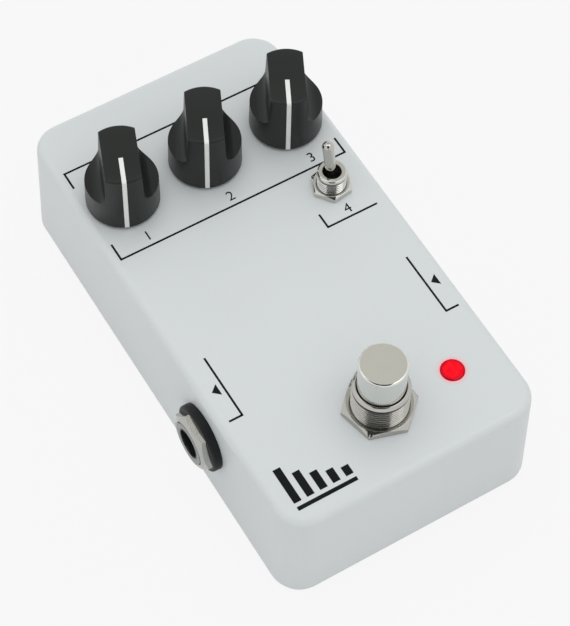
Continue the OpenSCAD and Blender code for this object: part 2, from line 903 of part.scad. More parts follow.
module footswitch_bushing() {
    chamfer = 0.6;
    bush_r = foot_bush_d / 2;
    lip_z = foot_top_z - foot_lip;
    color(nickel)
        at_foot()
            difference() {
                union() {
                    translate([0, 0, foot_shoulder_z - foot_plate_t])
                        block(foot_case_w, foot_case_w, foot_plate_t);
                    translate([0, 0, foot_shoulder_z - foot_plate_t])
                        cylinder(r = bush_r, h = foot_top_z - chamfer - foot_shoulder_z + foot_plate_t);
                    translate([0, 0, foot_top_z - chamfer])
                        cylinder(r1 = bush_r, r2 = bush_r - chamfer, h = chamfer);
                }
                translate([0, 0, foot_floor_z])
                    cylinder(r = foot_flange_bore_r, h = lip_z - foot_floor_z);
                translate([0, 0, foot_floor_z]) cylinder(r = foot_bore_r, h = foot_top_z);
                cylinder(r = foot_stem_hole_r, h = foot_floor_z + past);
            }
}

module footswitch_button() {
    button_r = foot_button_d / 2;
    button_top = foot_top_z + foot_button_up;
    color(nickel)
        at_foot() {
            translate([0, 0, foot_flange_z])
                cylinder(r = button_r, h = button_top - foot_button_edge - foot_flange_z);
            translate([0, 0, button_top - foot_button_edge])
                cylinder(r1 = button_r, r2 = button_r - foot_button_edge, h = foot_button_edge);
            translate([0, 0, foot_flange_z]) cylinder(r = foot_flange_r, h = foot_flange_h);
            translate([0, 0, foot_flange_z - foot_stem_l])
                cylinder(r = foot_stem_r, h = foot_stem_l + past / 2);
        }
}

module footswitch_nut() {
    nut_turn = 43;
    color(nickel)
        at_foot() translate([0, 0, top_z]) rotate(nut_turn)
            hex_nut(foot_nut_af, foot_nut_h, foot_bush_d / 2 + fit_clear);
}

module footswitch_lock_nut() {
    color(nickel)
        at_foot() translate([0, 0, foot_shoulder_z])
            hex_nut(foot_nut_af, foot_lock_nut_h, foot_bush_d / 2 + fit_clear);
}

module footswitch_lock_washer() {
    washer_w = 1.2;
    color(steel)
        at_foot() translate([0, 0, roof_z - lock_washer_t])
            ring(foot_bush_d / 2 + washer_w, foot_bush_d / 2 + fit_clear, lock_washer_t);
}

module footswitch_case() {
    stem_room = foot_travel + 1;
    stem_z = foot_flange_z - foot_stem_l - stem_room;
    color(blue_plastic)
        at_foot()
            difference() {
                translate([0, 0, foot_case_z]) block(foot_case_w, foot_case_w, foot_case_h);
                translate([0, 0, stem_z]) cylinder(r = foot_stem_hole_r, h = foot_case_h);
            }
}

module lugs(extra, z0, z1) {
    for (i = [-1:1], j = [-1:1])
        translate([i * lug_pitch, j * lug_pitch, z0]) block(lug_w + extra, lug_t + extra, z1 - z0);
}

module footswitch_lugs() {
    color(brass) at_foot() lugs(0, switch_board_z - lug_below, foot_case_z);
}

// The spring is one round wire along a helix, with a ring of points at every step
module footswitch_spring() {
    sides = 6;
    rings = 8 * spring_turns;
    rise = spring_z1 - spring_z0;
    wire_r = spring_wire_d / 2;
    points = [for (i = [0:rings], k = [0:sides - 1])
        let (
            turn = 360 * spring_turns * i / rings,
            side = 360 * k / sides,
            r = spring_r + wire_r * cos(side)
        )
        [r * cos(turn), r * sin(turn), spring_z0 + rise * i / rings + wire_r * sin(side)]
    ];
    walls = [for (i = [0:rings - 1], k = [0:sides - 1])
        let (a = i * sides + k, b = i * sides + (k + 1) % sides)
        each [[a, b, a + sides], [b, b + sides, a + sides]]
    ];
    near_end = [for (k = [1:sides - 2]) [0, k + 1, k]];
    far_end = [for (k = [1:sides - 2]) [rings * sides, rings * sides + k, rings * sides + k + 1]];
    color(steel) at_foot() polyhedron(points, concat(walls, near_end, far_end));
}

// Lamp

module led_lens() {
    dome_r = led_d / 2;
    dome_h = 1.2;
    color(red_lens)
        at_led() translate([0, 0, led_z]) {
            cylinder(r = led_flange_r, h = led_flange_h);
            cylinder(r = dome_r, h = led_l - dome_h);
            translate([0, 0, led_l - dome_h])
                rotate_extrude()
                    polygon(concat(
                        [[0, 0]],
                        [for (i = [0:6]) [dome_r * cos(15 * i), dome_h * sin(15 * i)]]
                    ));
        }
}

module led_lead_pair(extra, z0, z1) {
    for (side = [-1, 1])
        translate([side * led_lead_pitch / 2, 0, z0])
            block(led_lead + extra, led_lead + extra, z1 - z0);
}

module led_leads() {
    color(steel) at_led() led_lead_pair(0, switch_board_z - lug_below, led_z);
}

// Signal sockets, modelled on the right-hand wall

// Room for the two solder lugs through the housing's side
module jack_lug(z, t, from_y, extra) {
    translate([-jack_lug_up - (jack_lug_w + extra) / 2, from_y, z - extra / 2])
        cube([jack_lug_w + extra, jack_w / 2 + jack_lug_l - from_y, t + extra]);
}

module jack_housing_shape() {
    color(black_plastic)
        at_jack()
            difference() {
                translate([0, 0, jack_back]) block(jack_h, jack_w, jack_depth);
                translate([0, 0, jack_back + jack_skin])
                    block(
                        jack_h - 2 * jack_skin, jack_w - 2 * jack_skin,
                        jack_depth - jack_skin - jack_front_t
                    );
                translate([0, 0, jack_back + jack_skin])
                    cylinder(d = jack_sleeve_d + 2 * fit_clear, h = jack_depth);
                translate([0, 0, jack_back - past]) cylinder(d = jack_bore_d, h = jack_depth);
                jack_lug(sleeve_flange_z, sleeve_flange_t, 0, 2 * fit_clear);
                jack_lug(tip_lug_z, tip_lug_t, tip_spring_y, 2 * fit_clear);
            }
}

// The sleeve ends flush with the nut's face, at the height nose
module jack_sleeve_shape(nose) {
    color(nickel)
        at_jack()
            difference() {
                union() {
                    translate([0, 0, sleeve_flange_z])
                        cylinder(d = jack_sleeve_d, h = nose - sleeve_flange_z);
                    translate([0, 0, sleeve_flange_z])
                        cylinder(r = sleeve_flange_r, h = sleeve_flange_t);
                    jack_lug(sleeve_flange_z, sleeve_flange_t, sleeve_flange_r - sleeve_lug_in, 0);
                }
                translate([0, 0, jack_back])
                    cylinder(d = jack_bore_d, h = nose - jack_back + past);
            }
}

// A strip that leans towards the bore, with its solder lug
module jack_tip_spring_shape() {
    y0 = tip_spring_y;
    y1 = tip_spring_y + tip_spring_t;
    lean = y0 - jack_bore_d / 2 - tip_bore_gap;
    color(brass)
        at_jack() {
            translate([-jack_lug_up - jack_lug_w / 2, 0, tip_spring_z])
                rotate([90, 0, 90])
                    linear_extrude(jack_lug_w)
                        polygon([
                            [y0, 0], [y1, 0], [y1, tip_bend_l], [y1 - lean, tip_spring_l],
                            [y0 - lean, tip_spring_l], [y0, tip_bend_l]
                        ]);
            jack_lug(tip_lug_z, tip_lug_t, y0, 0);
        }
}

// The washer's inner face follows the leaning wall
module jack_washer_shape(washer_t) {
    size = 2 * jack_washer_d;
    chamfer = washer_t / 5;
    washer_r = jack_washer_d / 2;
    color(black_plastic)
        at_jack()
            difference() {
                union() {
                    translate([0, 0, -past])
                        cylinder(r = washer_r, h = washer_t - chamfer + past);
                    translate([0, 0, washer_t - chamfer])
                        cylinder(r1 = washer_r, r2 = washer_r - chamfer, h = chamfer);
                }
                translate([0, 0, -2 * past])
                    cylinder(d = jack_sleeve_d + 2 * fit_clear, h = washer_t + 4 * past);
                rotate([0, -wall_lean, 0]) translate([-size / 2, -size / 2, -size])
                    cube(size);
            }
}

module jack_nut_shape(washer_t, nut_h, nut_turn) {
    color(nickel)
        at_jack() translate([0, 0, washer_t]) rotate(nut_turn)
            hex_nut(jack_nut_af, nut_h, jack_sleeve_d / 2 + fit_clear);
}

module output_jack_housing() { mirror([1, 0, 0]) jack_housing_shape(); }
module output_jack_sleeve() {
    mirror([1, 0, 0]) jack_sleeve_shape(output_washer_t + output_nut_h);
}
module output_jack_tip_spring() { mirror([1, 0, 0]) jack_tip_spring_shape(); }
module output_jack_washer() { mirror([1, 0, 0]) jack_washer_shape(output_washer_t); }
module output_jack_nut() {
    nut_turn = 37;
    mirror([1, 0, 0]) jack_nut_shape(output_washer_t, output_nut_h, nut_turn);
}

module input_jack_housing() { jack_housing_shape(); }
module input_jack_sleeve() { jack_sleeve_shape(input_washer_t + input_nut_h); }
module input_jack_tip_spring() { jack_tip_spring_shape(); }
module input_jack_washer() { jack_washer_shape(input_washer_t); }
module input_jack_nut() {
    nut_turn = 30;
    jack_nut_shape(input_washer_t, input_nut_h, nut_turn);
}

// Power socket

module dc_spring_room(extra) {
    y0 = dc_bore_d / 2 + dc_spring_gap;
    translate([-(dc_spring_w + extra) / 2, y0 - extra / 2, dc_back - dc_tail])
        cube([dc_spring_w + extra, dc_spring_t + extra, dc_bore_l + dc_tail]);
}

module dc_jack_housing() {
    nose_top = -dc_nose_in;
    color(black_plastic)
        at_dc()
            difference() {
                union() {
                    translate([0, 0, dc_back]) block(dc_w, dc_h, dc_depth);
                    translate([0, 0, dc_face - past])
                        cylinder(d = dc_nose_d, h = nose_top - dc_face + past);
                }
                translate([0, 0, dc_face - dc_bore_l])
                    cylinder(d = dc_bore_d, h = dc_bore_l - dc_face + past);
                translate([0, 0, dc_back - past])
                    cylinder(d = dc_pin_d + 2 * run_clear, h = dc_depth);
                dc_spring_room(2 * fit_clear);
            }
}

// Centre pin with its tail up to the board, and the strip that touches the plug's barrel
module dc_jack_contacts() {
    pin_l = dc_tail + dc_depth - dc_face - dc_pin_in;
    tail_t = 0.8;
    color(nickel)
        at_dc() {
            translate([0, 0, dc_back - dc_tail]) cylinder(d = dc_pin_d, h = pin_l);
            translate([-dc_pin_d / 2, -dc_h / 2, dc_back - dc_tail])
                cube([dc_pin_d, dc_h / 2, tail_t]);
            dc_spring_room(0);
        }
}

// Boards and wiring

module main_board() {
    side = case_w / 2 - case_wall - case_draft - board_side;
    notch_x = case_w / 2 - board_notch;
    notch_y = back_y - board_notch;
    outline = [
        [-side, board_front], [side, board_front], [side, notch_y], [notch_x, notch_y],
        [notch_x, board_back], [-notch_x, board_back], [-notch_x, notch_y], [-side, notch_y]
    ];
    color(board_green)
        difference() {
            translate([0, 0, board_z]) linear_extrude(board_t) polygon(outline);
            for (i = [0:2]) at_pot(i) pot_pins(pot_pin_r + pin_clear, board_z - past, board_top_z + past);
            at_toggle() terminal_slots(2 * pin_clear, board_z - past, board_top_z + past);
        }
}

module chip(legs) {
    body_l = legs * chip_leg_pitch;
    leg_w = 0.8;
    leg_t = 0.5;
    stand = 0.5;
    translate([0, 0, -chip_h - stand]) block(body_l, chip_w, chip_h);
    for (k = [0:legs - 1], side = [-1, 1])
        translate([(k - (legs - 1) / 2) * chip_leg_pitch, side * (chip_w + leg_t) / 2, -chip_h / 2 - stand])
            block(leg_w, leg_t + fit_clear, chip_h / 2 + stand);
}

module delay_chips() {
    color(black_plastic) {
        translate([long_chip_x, chip_y, board_z]) chip(8);
        translate([short_chip_x, chip_y, board_z]) chip(4);
    }
}

module can(d, h) {
    translate([0, 0, -h]) cylinder(d = d, h = h);
}

module electrolytic_capacitors() {
    color([0.1, 0.14, 0.3])
        for (side = [-1, 1], k = [0, 1]) {
            translate([panel_x + side * (knob_pitch - k * large_can_pitch), large_can_y, board_z])
                can(large_can_d, large_can_h);
            translate([panel_x + side * knob_pitch / 2, small_can_y, board_z])
                can(small_can_d, small_can_h);
        }
}

module film_capacitors() {
    color([0.72, 0.2, 0.14])
        for (k = [-2:1])
            translate([film_pitch * k, film_y, board_z - film_h]) block(film_l, film_w, film_h);
}

module resistors() {
    lead_d = 0.6;
    lead_h = (resistor_d + lead_d) / 2;
    color([0.78, 0.68, 0.5])
        for (k = [-3:3])
            translate([resistor_pitch * k + resistor_x, resistor_y, board_z - resistor_d / 2]) {
                rotate([90, 0, 0]) cylinder(d = resistor_d, h = resistor_l, center = true);
                rotate([90, 0, 0]) cylinder(d = lead_d, h = resistor_span, center = true);
                for (side = [-1, 1])
                    translate([0, side * resistor_span / 2, -lead_d / 2])
                        cylinder(d = lead_d, h = lead_h);
            }
}

module switch_board() {
    half = foot_case_w / 2;
    color(board_green)
        difference() {
            union() {
                at_foot()
                    translate([-half - switch_board_rim, -half + switch_board_rim, switch_board_z])
                        cube([
                            2 * (half + switch_board_rim),
                            switch_board_front - foot_y + half - switch_board_rim, board_t
                        ]);
                translate([panel_x, led_y - led_tongue, switch_board_z])
                    cube([led_x - panel_x + led_tongue, 2 * led_tongue, board_t]);
            }
            at_foot() lugs(2 * pin_clear, switch_board_z - past, switch_board_top + past);
            at_led() led_lead_pair(2 * pin_clear, switch_board_z - past, switch_board_top + past);
        }
}

// A point on the smooth curve that a list of control points draws, from u = 0 to 1
function curve_point(points, u) =
    len(points) == 1 ? points[0]
    : curve_point([for (i = [0:len(points) - 2]) (1 - u) * points[i] + u * points[i + 1]], u);

module ribbon_cable() {
    line = [for (i = [0:ribbon_steps]) curve_point(ribbon_route, i / ribbon_steps)];
    heading = [for (i = [0:ribbon_steps])
        i == 0 ? [0, -1]
        : i == ribbon_steps ? [-1, 0]
        : line[i + 1] - line[i - 1]
    ];
    side = [for (h = heading) ribbon_t / 2 * [-h[1], h[0]] / norm(h)];
    left = [for (i = [0:ribbon_steps]) line[i] + side[i]];
    right = [for (i = [ribbon_steps:-1:0]) line[i] - side[i]];
    color(ribbon_grey)
        translate([panel_x - ribbon_w / 2, 0, 0]) rotate([90, 0, 90])
            linear_extrude(ribbon_w) polygon(concat(left, right));
}

// Each wire leaves its lug, bends over the board's edge and ends on the board
module jack_wires() {
    lug_end_y = jack_y + jack_w / 2 + jack_lug_l;
    depths = [sleeve_flange_z + sleeve_flange_t / 2, tip_lug_z + tip_lug_t / 2];
    color([0.75, 0.1, 0.1])
        for (side = [-1, 1], depth = depths)
            translate([side * (jack_wall_x + depth), lug_end_y, board_top_z])
                rotate([90, 0, 90])
                    rotate_extrude(angle = 90) translate([wire_bend_r, 0]) circle(d = wire_d);
}

enclosure();
bottom_cover();
cover_screws();
main_board();
delay_chips();
electrolytic_capacitors();
film_capacitors();
resistors();
mix_pot_case();
speed_pot_case();
repeats_pot_case();
pot_wafers();
pot_washers();
pot_nuts();
toggle_case();
toggle_bushing();
toggle_terminals();
toggle_nut();
footswitch_lock_washer();
footswitch_case();
footswitch_bushing();
footswitch_lugs();
footswitch_lock_nut();
footswitch_nut();
footswitch_spring();
switch_board();
led_lens();
led_leads();
output_jack_housing();
output_jack_sleeve();
output_jack_tip_spring();
output_jack_washer();
output_jack_nut();
input_jack_housing();
input_jack_sleeve();
input_jack_tip_spring();
input_jack_washer();
input_jack_nut();
dc_jack_housing();
dc_jack_contacts();
ribbon_cable();
jack_wires();
mix_knob();
speed_knob();
repeats_knob();
mix_pointer_line();
speed_pointer_line();
repeats_pointer_line();
mix_set_screw();
speed_set_screw();
repeats_set_screw();
mix_pot_shaft();
speed_pot_shaft();
repeats_pot_shaft();
mix_wiper();
speed_wiper();
repeats_wiper();
toggle_lever();
toggle_rocker();
footswitch_button();
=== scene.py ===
"""Models and finishes the visible pieces of a guitar echo pedal around its solids."""

import json
import math

import bmesh
import bpy
from mathutils import Matrix, Vector


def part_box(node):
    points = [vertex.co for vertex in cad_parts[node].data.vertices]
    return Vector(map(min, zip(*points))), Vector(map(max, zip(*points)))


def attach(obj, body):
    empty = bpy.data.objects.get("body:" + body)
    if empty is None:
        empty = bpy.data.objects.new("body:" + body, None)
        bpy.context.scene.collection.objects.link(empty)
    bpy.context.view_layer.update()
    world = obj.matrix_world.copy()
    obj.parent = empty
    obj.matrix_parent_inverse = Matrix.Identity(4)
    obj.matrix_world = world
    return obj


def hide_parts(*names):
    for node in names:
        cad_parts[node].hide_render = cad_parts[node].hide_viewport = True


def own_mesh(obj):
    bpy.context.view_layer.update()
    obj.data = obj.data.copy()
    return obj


bl_info = {
    "name": "Echo Pedal",
    "version": (1, 0, 0),
    "blender": (4, 5, 0),
    "location": "View3D > Sidebar > Pedal",
    "description": "Models and finishes the visible pieces of a guitar echo pedal",
    "category": "Object",
}

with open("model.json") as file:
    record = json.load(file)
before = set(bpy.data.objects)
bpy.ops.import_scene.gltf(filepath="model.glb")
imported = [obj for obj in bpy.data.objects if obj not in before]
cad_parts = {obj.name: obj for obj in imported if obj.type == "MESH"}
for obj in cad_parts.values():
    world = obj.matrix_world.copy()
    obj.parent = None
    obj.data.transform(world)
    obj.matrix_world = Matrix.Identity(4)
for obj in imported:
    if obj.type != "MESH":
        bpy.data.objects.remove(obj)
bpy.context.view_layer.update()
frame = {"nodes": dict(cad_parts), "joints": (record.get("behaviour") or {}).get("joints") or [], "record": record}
MM = 0.001
QUARTER = math.radians(90)
SPIN_STEPS = 96
MERGE_GAP = 0.001 * MM
PANEL_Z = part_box("enclosure")[1].z
KNOBS = ("mix", "speed", "repeats")
SOCKETS = {"output": -1, "input": 1}
SOCKET_NUT_TURN = {"output": 143, "input": 29}
JOINT_AT = {joint["name"]: Vector(joint["pos_m"]) for joint in frame["joints"] if "pos_m" in joint}
SLOT_OF = {part["node"]: part["material_slot"] for part in frame["record"]["subparts"]}
GRAIN_SCALE = 2500.0

# Finishes of plain pieces: screen levels, scale of the drift, roughness and metal
PLAIN = {
    "steel": ((176, 178, 181), 300, (0.3, 0.42), 1.0),
    "shaft_metal": ((201, 201, 203), 300, (0.25, 0.35), 1.0),
    "brass": ((205, 172, 98), 300, (0.25, 0.4), 1.0),
    "board_green": ((24, 88, 54), 900, (0.3, 0.4), 0.0),
    "chip_black": ((24, 24, 24), 700, (0.5, 0.65), 0.0),
    "capacitor_blue": ((28, 38, 80), 60, (0.2, 0.3), 0.0),
    "film_red": ((182, 52, 36), 300, (0.2, 0.35), 0.0),
    "resistor_tan": ((199, 172, 128), 500, (0.4, 0.5), 0.0),
    "phenolic": ((115, 69, 36), 700, (0.4, 0.55), 0.0),
    "switch_blue": ((31, 77, 158), 300, (0.35, 0.45), 0.0),
    "ribbon_grey": ((153, 156, 161), 900, (0.4, 0.5), 0.0),
    "wire_red": ((191, 26, 26), 300, (0.35, 0.45), 0.0),
}


# Settings

def length(name, description, millimetres):
    """A length that a user may change, in metres."""
    return bpy.props.FloatProperty(
        name=name, description=description, default=millimetres * MM,
        min=0.0, precision=5, subtype="DISTANCE", unit="LENGTH",
    )


def angle(name, description, degrees):
    """An angle that a user may change, in radians."""
    return bpy.props.FloatProperty(
        name=name, description=description, default=math.radians(degrees),
        subtype="ANGLE", unit="ROTATION",
    )


def linear(level):
    """The linear value of one 0 to 255 screen level."""
    share = level / 255
    return share / 12.92 if share <= 0.04045 else ((share + 0.055) / 1.055) ** 2.4


def tint(red, green, blue):
    """A linear colour from 0 to 255 screen levels."""
    return (linear(red), linear(green), linear(blue), 1.0)


def colour(name, what, levels):
    """The colour of something that a user may change, given as screen levels."""
    return bpy.props.FloatVectorProperty(
        name=name, description="Colour of the " + what, default=tint(*levels), size=4,
        min=0.0, max=1.0, subtype="COLOR",
    )


class PedalCase(bpy.types.PropertyGroup):
    """Sizes and paint of the die-cast box."""

    corner: length("Corner", "Radius of the upright corners", 6.6)
    edge: length("Edge", "Radius of the rounded edge around the top panel", 1.8)
    draft: length("Draft", "How far each wall leans in at the top", 0.57)
    wall: length("Wall", "Thickness of the side walls", 2.2)
    roof: length("Roof", "Thickness of the top panel", 2.4)
    rim: length("Rim", "Rounding of the lower rim", 0.3)
    post: length("Post", "Radius of the posts for the cover screws", 3.4)
    hole_room: length("Hole room", "Clearance around what passes through the panel", 0.2)
    paint: colour("Paint", "satin paint", (211, 216, 217))


class PedalPrint(bpy.types.PropertyGroup):
    """The printed lines and marks on the top panel."""

    line: length("Line", "Width of the printed lines", 0.45)
    film: length("Film", "Thickness of the ink", 0.03)
    digit: length("Digit", "Size of the printed digits", 3.4)
    ink: colour("Ink", "printing", (22, 25, 25))


class PedalKnobs(bpy.types.PropertyGroup):
    """Sizes and colours of the pointer knobs."""

    foot: length("Foot", "Radius of the knob at its foot", 7.9)
    waist: length("Waist", "Radius of the knob at the scooped floors", 7.8)
    top: length("Top", "Radius of the knob at its top", 7.45)
    crown: length("Crown", "Rise of the domed top", 0.4)
    edge: length("Edge", "Radius of the top edge", 0.5)
    floor: length("Floor", "Height of the scooped floors", 6.5)
    grip: length("Grip", "Width of the finger grip at its top", 7.6)
    grip_draft: length("Grip draft", "How much each side of the grip spreads below", 0.25)
    scoop: length("Scoop", "Radius between a floor and the grip", 2.7)
    soft: length("Soft", "Rounding of the moulded edges", 0.22)
    line: length("Line", "Width of the pointer line", 0.95)
    line_start: length("Line start", "Where the line starts, from the middle", 1.35)
    plastic: colour("Plastic", "moulded plastic", (34, 37, 36))
    white: colour("White", "pointer line", (232, 233, 230))


class PedalMetal(bpy.types.PropertyGroup):
    """Sizes and colours of the plated parts."""

    toggle_pitch: length("Toggle pitch", "Thread pitch of the toggle bushing", 0.635)
    foot_pitch: length("Foot pitch", "Thread pitch of the footswitch bushing", 0.75)
    soft: length("Soft", "Rounding of the turned edges", 0.06)
    chrome: colour("Chrome", "bright plate on the button", (226, 226, 222))
    bright: colour("Bright nickel", "plate on the toggle's bushing and nut", (208, 208, 204))
    nickel: colour("Nickel", "duller plate on the other nuts and bushings", (188, 187, 181))
    socket: colour("Socket nickel", "plate on the sockets' nuts", (186, 186, 182))
    dull: colour("Dull nickel", "plate on the sockets' sleeves", (138, 139, 137))
    # Painted shade: the big thread's grooves and the lever below where it sinks into the throat.
    painted_groove_shade: colour("Groove", "foot of the lever and of the big thread", (52, 51, 49))
    # Painted shade: the toggle's throat and the grooves at the foot of its thread.
    throat: colour("Throat", "toggle's throat and the foot of its thread", (96, 95, 92))


class PedalLamp(bpy.types.PropertyGroup):
    """The red lamp."""

    dye: colour("Dye", "unlit lens", (110, 0, 8))
    glow: colour("Glow", "light in the lens", (232, 0, 22))
    spark: colour("Spark", "brighter specks in the lens", (248, 20, 40))
    rim: colour("Rim", "light at the edge of the lens", (150, 0, 26))
    # Painted light: the lamp's glow painted into the paint close to the lens.
    painted_lamp_glow: colour("Spill", "paint close to the lens", (250, 176, 184))


class PedalStage(bpy.types.PropertyGroup):
    """Camera and studio."""

    azimuth: angle("Azimuth", "Direction of the camera round the pedal", -32.093)
    elevation: angle("Elevation", "Height of the camera above the horizon", 57.522)
    roll: angle("Roll", "Turn of the camera about its view", 1.539)
    camera_at: bpy.props.FloatVectorProperty(
        name="Camera place", description="Where the camera stands",
        default=(-0.1465, -0.23361, 0.45481), subtype="TRANSLATION", unit="LENGTH",
    )
    lens: bpy.props.FloatProperty(
        name="Lens", description="Focal length in millimetres", default=140.33, unit="CAMERA",
    )
    paper: colour("Paper", "floor and background", (248, 248, 248))


SETTINGS = {
    "pedal_case": PedalCase,
    "pedal_print": PedalPrint,
    "pedal_knobs": PedalKnobs,
    "pedal_metal": PedalMetal,
    "pedal_lamp": PedalLamp,
    "pedal_stage": PedalStage,
}


# Modelling tools

def clear_selection():
    """Leaves edit mode and deselects everything."""
    if bpy.context.mode != "OBJECT":
        bpy.ops.object.mode_set(mode="OBJECT")
    bpy.ops.object.select_all(action="DESELECT")


def pick(*pieces):
    """Selects these pieces alone and makes the first one active."""
    clear_selection()
    for piece in pieces:
        piece.select_set(True)
    bpy.context.view_layer.objects.active = pieces[0]


def named(name):
    """Names the piece that was just added."""
    piece = bpy.context.object
    piece.name = name
    piece.data.name = name
    return piece


def settle(piece, at=(0, 0, 0), turn=(0, 0, 0)):
    """Turns and moves a piece, then puts its place into its mesh."""
    pick(piece)
    piece.rotation_euler = turn
    piece.location = at
    bpy.ops.object.transform_apply()
    return piece


def copy_of(piece, name):
    """A copy with its own mesh."""
    pick(piece)
    bpy.ops.object.duplicate(linked=False)
    return named(name)


def joined(name, pieces):
    """One piece made of several."""
    pick(*pieces)
    if len(pieces) > 1:
        bpy.ops.object.join()
    return named(name)


def apply_modifier(piece, kind, **values):
    """Adds a modifier with these values and applies it."""
    pick(piece)
    modifier = piece.modifiers.new(kind, kind)
    for key, value in values.items():
        setattr(modifier, key, value)
    bpy.ops.object.modifier_apply(modifier=modifier.name)


def combine(piece, tools, operation):
    """Cuts, keeps or adds the tools' solids one by one, and removes the tools."""
    for tool in tools:
        apply_modifier(piece, "BOOLEAN", operation=operation, solver="EXACT", object=tool)
        bpy.data.objects.remove(tool)


def open_up(piece):
    """Opens a piece for editing, with everything selected."""
    pick(piece)
    bpy.ops.object.mode_set(mode="EDIT")
    bpy.ops.mesh.select_mode(type="VERT")
    bpy.ops.mesh.select_all(action="SELECT")


def close_up():
    """Merges doubles and turns the faces of the whole edited mesh outwards."""
    bpy.ops.mesh.select_all(action="SELECT")
    bpy.ops.mesh.remove_doubles(threshold=MERGE_GAP)
    bpy.ops.mesh.normals_make_consistent(inside=False)
    bpy.ops.object.mode_set(mode="OBJECT")


def drop_slivers(piece):
    """Removes faces and edges without size, and turns the rest outwards."""
    open_up(piece)
    bpy.ops.mesh.dissolve_degenerate(threshold=MERGE_GAP)
    close_up()


def soften(piece, width, segments=2, smooth=35):
    """Rounds the sharp edges and shades the piece smooth between them."""
    if width > 0:
        apply_modifier(
            piece, "BEVEL", width=width, segments=segments, limit_method="ANGLE",
            angle_limit=math.radians(30), use_clamp_overlap=True,
        )
    drop_slivers(piece)
    pick(piece)
    bpy.ops.object.shade_smooth_by_angle(angle=math.radians(smooth))
    apply_modifier(piece, "WEIGHTED_NORMAL", keep_sharp=True)
    return piece


def chain(name, points):
    """A chain of edges, drawn by extruding one vertex from point to point."""
    clear_selection()
    bpy.ops.mesh.primitive_plane_add(size=MM, location=(0, 0, 0))
    piece = named(name)
    bpy.ops.object.mode_set(mode="EDIT")
    bpy.ops.mesh.select_mode(type="VERT")
    bpy.ops.mesh.merge(type="CENTER")
    bpy.ops.transform.translate(value=points[0])
    for start, end in zip(points, points[1:]):
        step = Vector(end) - Vector(start)
        bpy.ops.mesh.extrude_region_move(TRANSFORM_OT_translate={"value": step})
    bpy.ops.mesh.select_all(action="SELECT")
    return piece


def half_section(name, profile):
    """A chain through (radius, height) points."""
    return chain(name, [(radius, 0, height) for radius, height in profile])


def turned(name, profile, steps=SPIN_STEPS):
    """A turned piece: (radius, height) points spun about Z."""
    piece = half_section(name, profile)
    bpy.ops.mesh.spin(steps=steps, angle=math.tau, center=(0, 0, 0), axis=(0, 0, 1))
    close_up()
    return piece


def ring(name, profile, steps=SPIN_STEPS):
    """A turned piece with a hole: the profile closes on itself."""
    return turned(name, [*profile, profile[0]], steps)


def prism(name, outline, along):
    """A flat outline extruded along a direction."""
    piece = chain(name, [*outline, outline[0]])
    bpy.ops.mesh.remove_doubles(threshold=MERGE_GAP)
    bpy.ops.mesh.edge_face_add()
    bpy.ops.mesh.extrude_region_move(TRANSFORM_OT_translate={"value": along})
    close_up()
    return piece


def block(name, low, high):
    """A box between two corners."""
    clear_selection()
    low, high = Vector(low), Vector(high)
    bpy.ops.mesh.primitive_cube_add(size=1, location=(low + high) / 2, scale=high - low)
    piece = named(name)
    bpy.ops.object.transform_apply()
    return piece


def rod(name, radius, low, high, x=0.0, y=0.0, steps=48):
    """A cylinder along Z between two heights."""
    clear_selection()
    middle = (x, y, (low + high) / 2)
    bpy.ops.mesh.primitive_cylinder_add(vertices=steps, radius=radius, depth=high - low, location=middle)
    piece = named(name)
    bpy.ops.object.transform_apply()
    return piece


def arc(middle, radius, start, end, steps):
    """Points along an arc in the profile plane, angles in degrees from the radius axis."""
    angles = [math.radians(start + (end - start) * i / steps) for i in range(steps + 1)]
    return [(middle[0] + radius * math.cos(a), middle[1] + radius * math.sin(a)) for a in angles]


def select_where(piece, kind, test):
    """Selects the edges or faces of the edited piece that pass a test."""
    bpy.ops.mesh.select_mode(type=kind)
    bpy.ops.mesh.select_all(action="DESELECT")
    mesh = bmesh.from_edit_mesh(piece.data)
    for item in mesh.edges if kind == "EDGE" else mesh.faces:
        item.select_set(test(item))
    bmesh.update_edit_mesh(piece.data)


def nut(name, across, low, high, bore, turn, chamfer, face, soft):
    """A hexagon nut with a cone turned around its top face and a countersunk bore."""
    corner = across / math.sqrt(3)
    sink = 0.25 * MM
    lead = 0.12 * MM
    spare = 0.1 * MM
    slope = chamfer / (corner - face)
    angles = [turn + math.radians(60 * k) for k in range(6)]
    outline = [(corner * math.cos(a), corner * math.sin(a), low) for a in angles]
    piece = prism(name, outline, (0, 0, high - low))
    lathe = ring(name + "_lathe", [
        (bore, low), (corner - lead, low), (corner + spare, low + lead + spare),
        (corner + spare, high - chamfer - spare * slope), (face, high),
        (bore + sink, high), (bore, high - sink),
    ])
    combine(piece, [lathe], "INTERSECT")
    return soften(piece, soft)


def wind(piece, pitch, turns):
    """Winds the edited section up around Z and closes its two ends."""
    bpy.ops.mesh.remove_doubles(threshold=MERGE_GAP)
    bpy.ops.object.mode_set(mode="OBJECT")
    apply_modifier(
        piece, "SCREW", axis="Z", angle=math.tau, screw_offset=pitch, iterations=turns,
        steps=SPIN_STEPS, render_steps=SPIN_STEPS, use_merge_vertices=False,
    )
    open_up(piece)
    bpy.ops.mesh.fill_holes(sides=0)
    close_up()
    return piece


def thread(name, crest, root, pitch, low, high):
    """A helical thread ridge around Z between two heights."""
    turns = int((high - low) / pitch) - 1
    start = low + pitch / 2
    sunk = root - 0.05 * MM
    foot, tip = 0.36 * pitch, 0.07 * pitch
    tooth = [(sunk, start - foot), (crest, start - tip), (crest, start + tip), (sunk, start + foot)]
    return wind(half_section(name, [*tooth, tooth[0]]), pitch, turns)


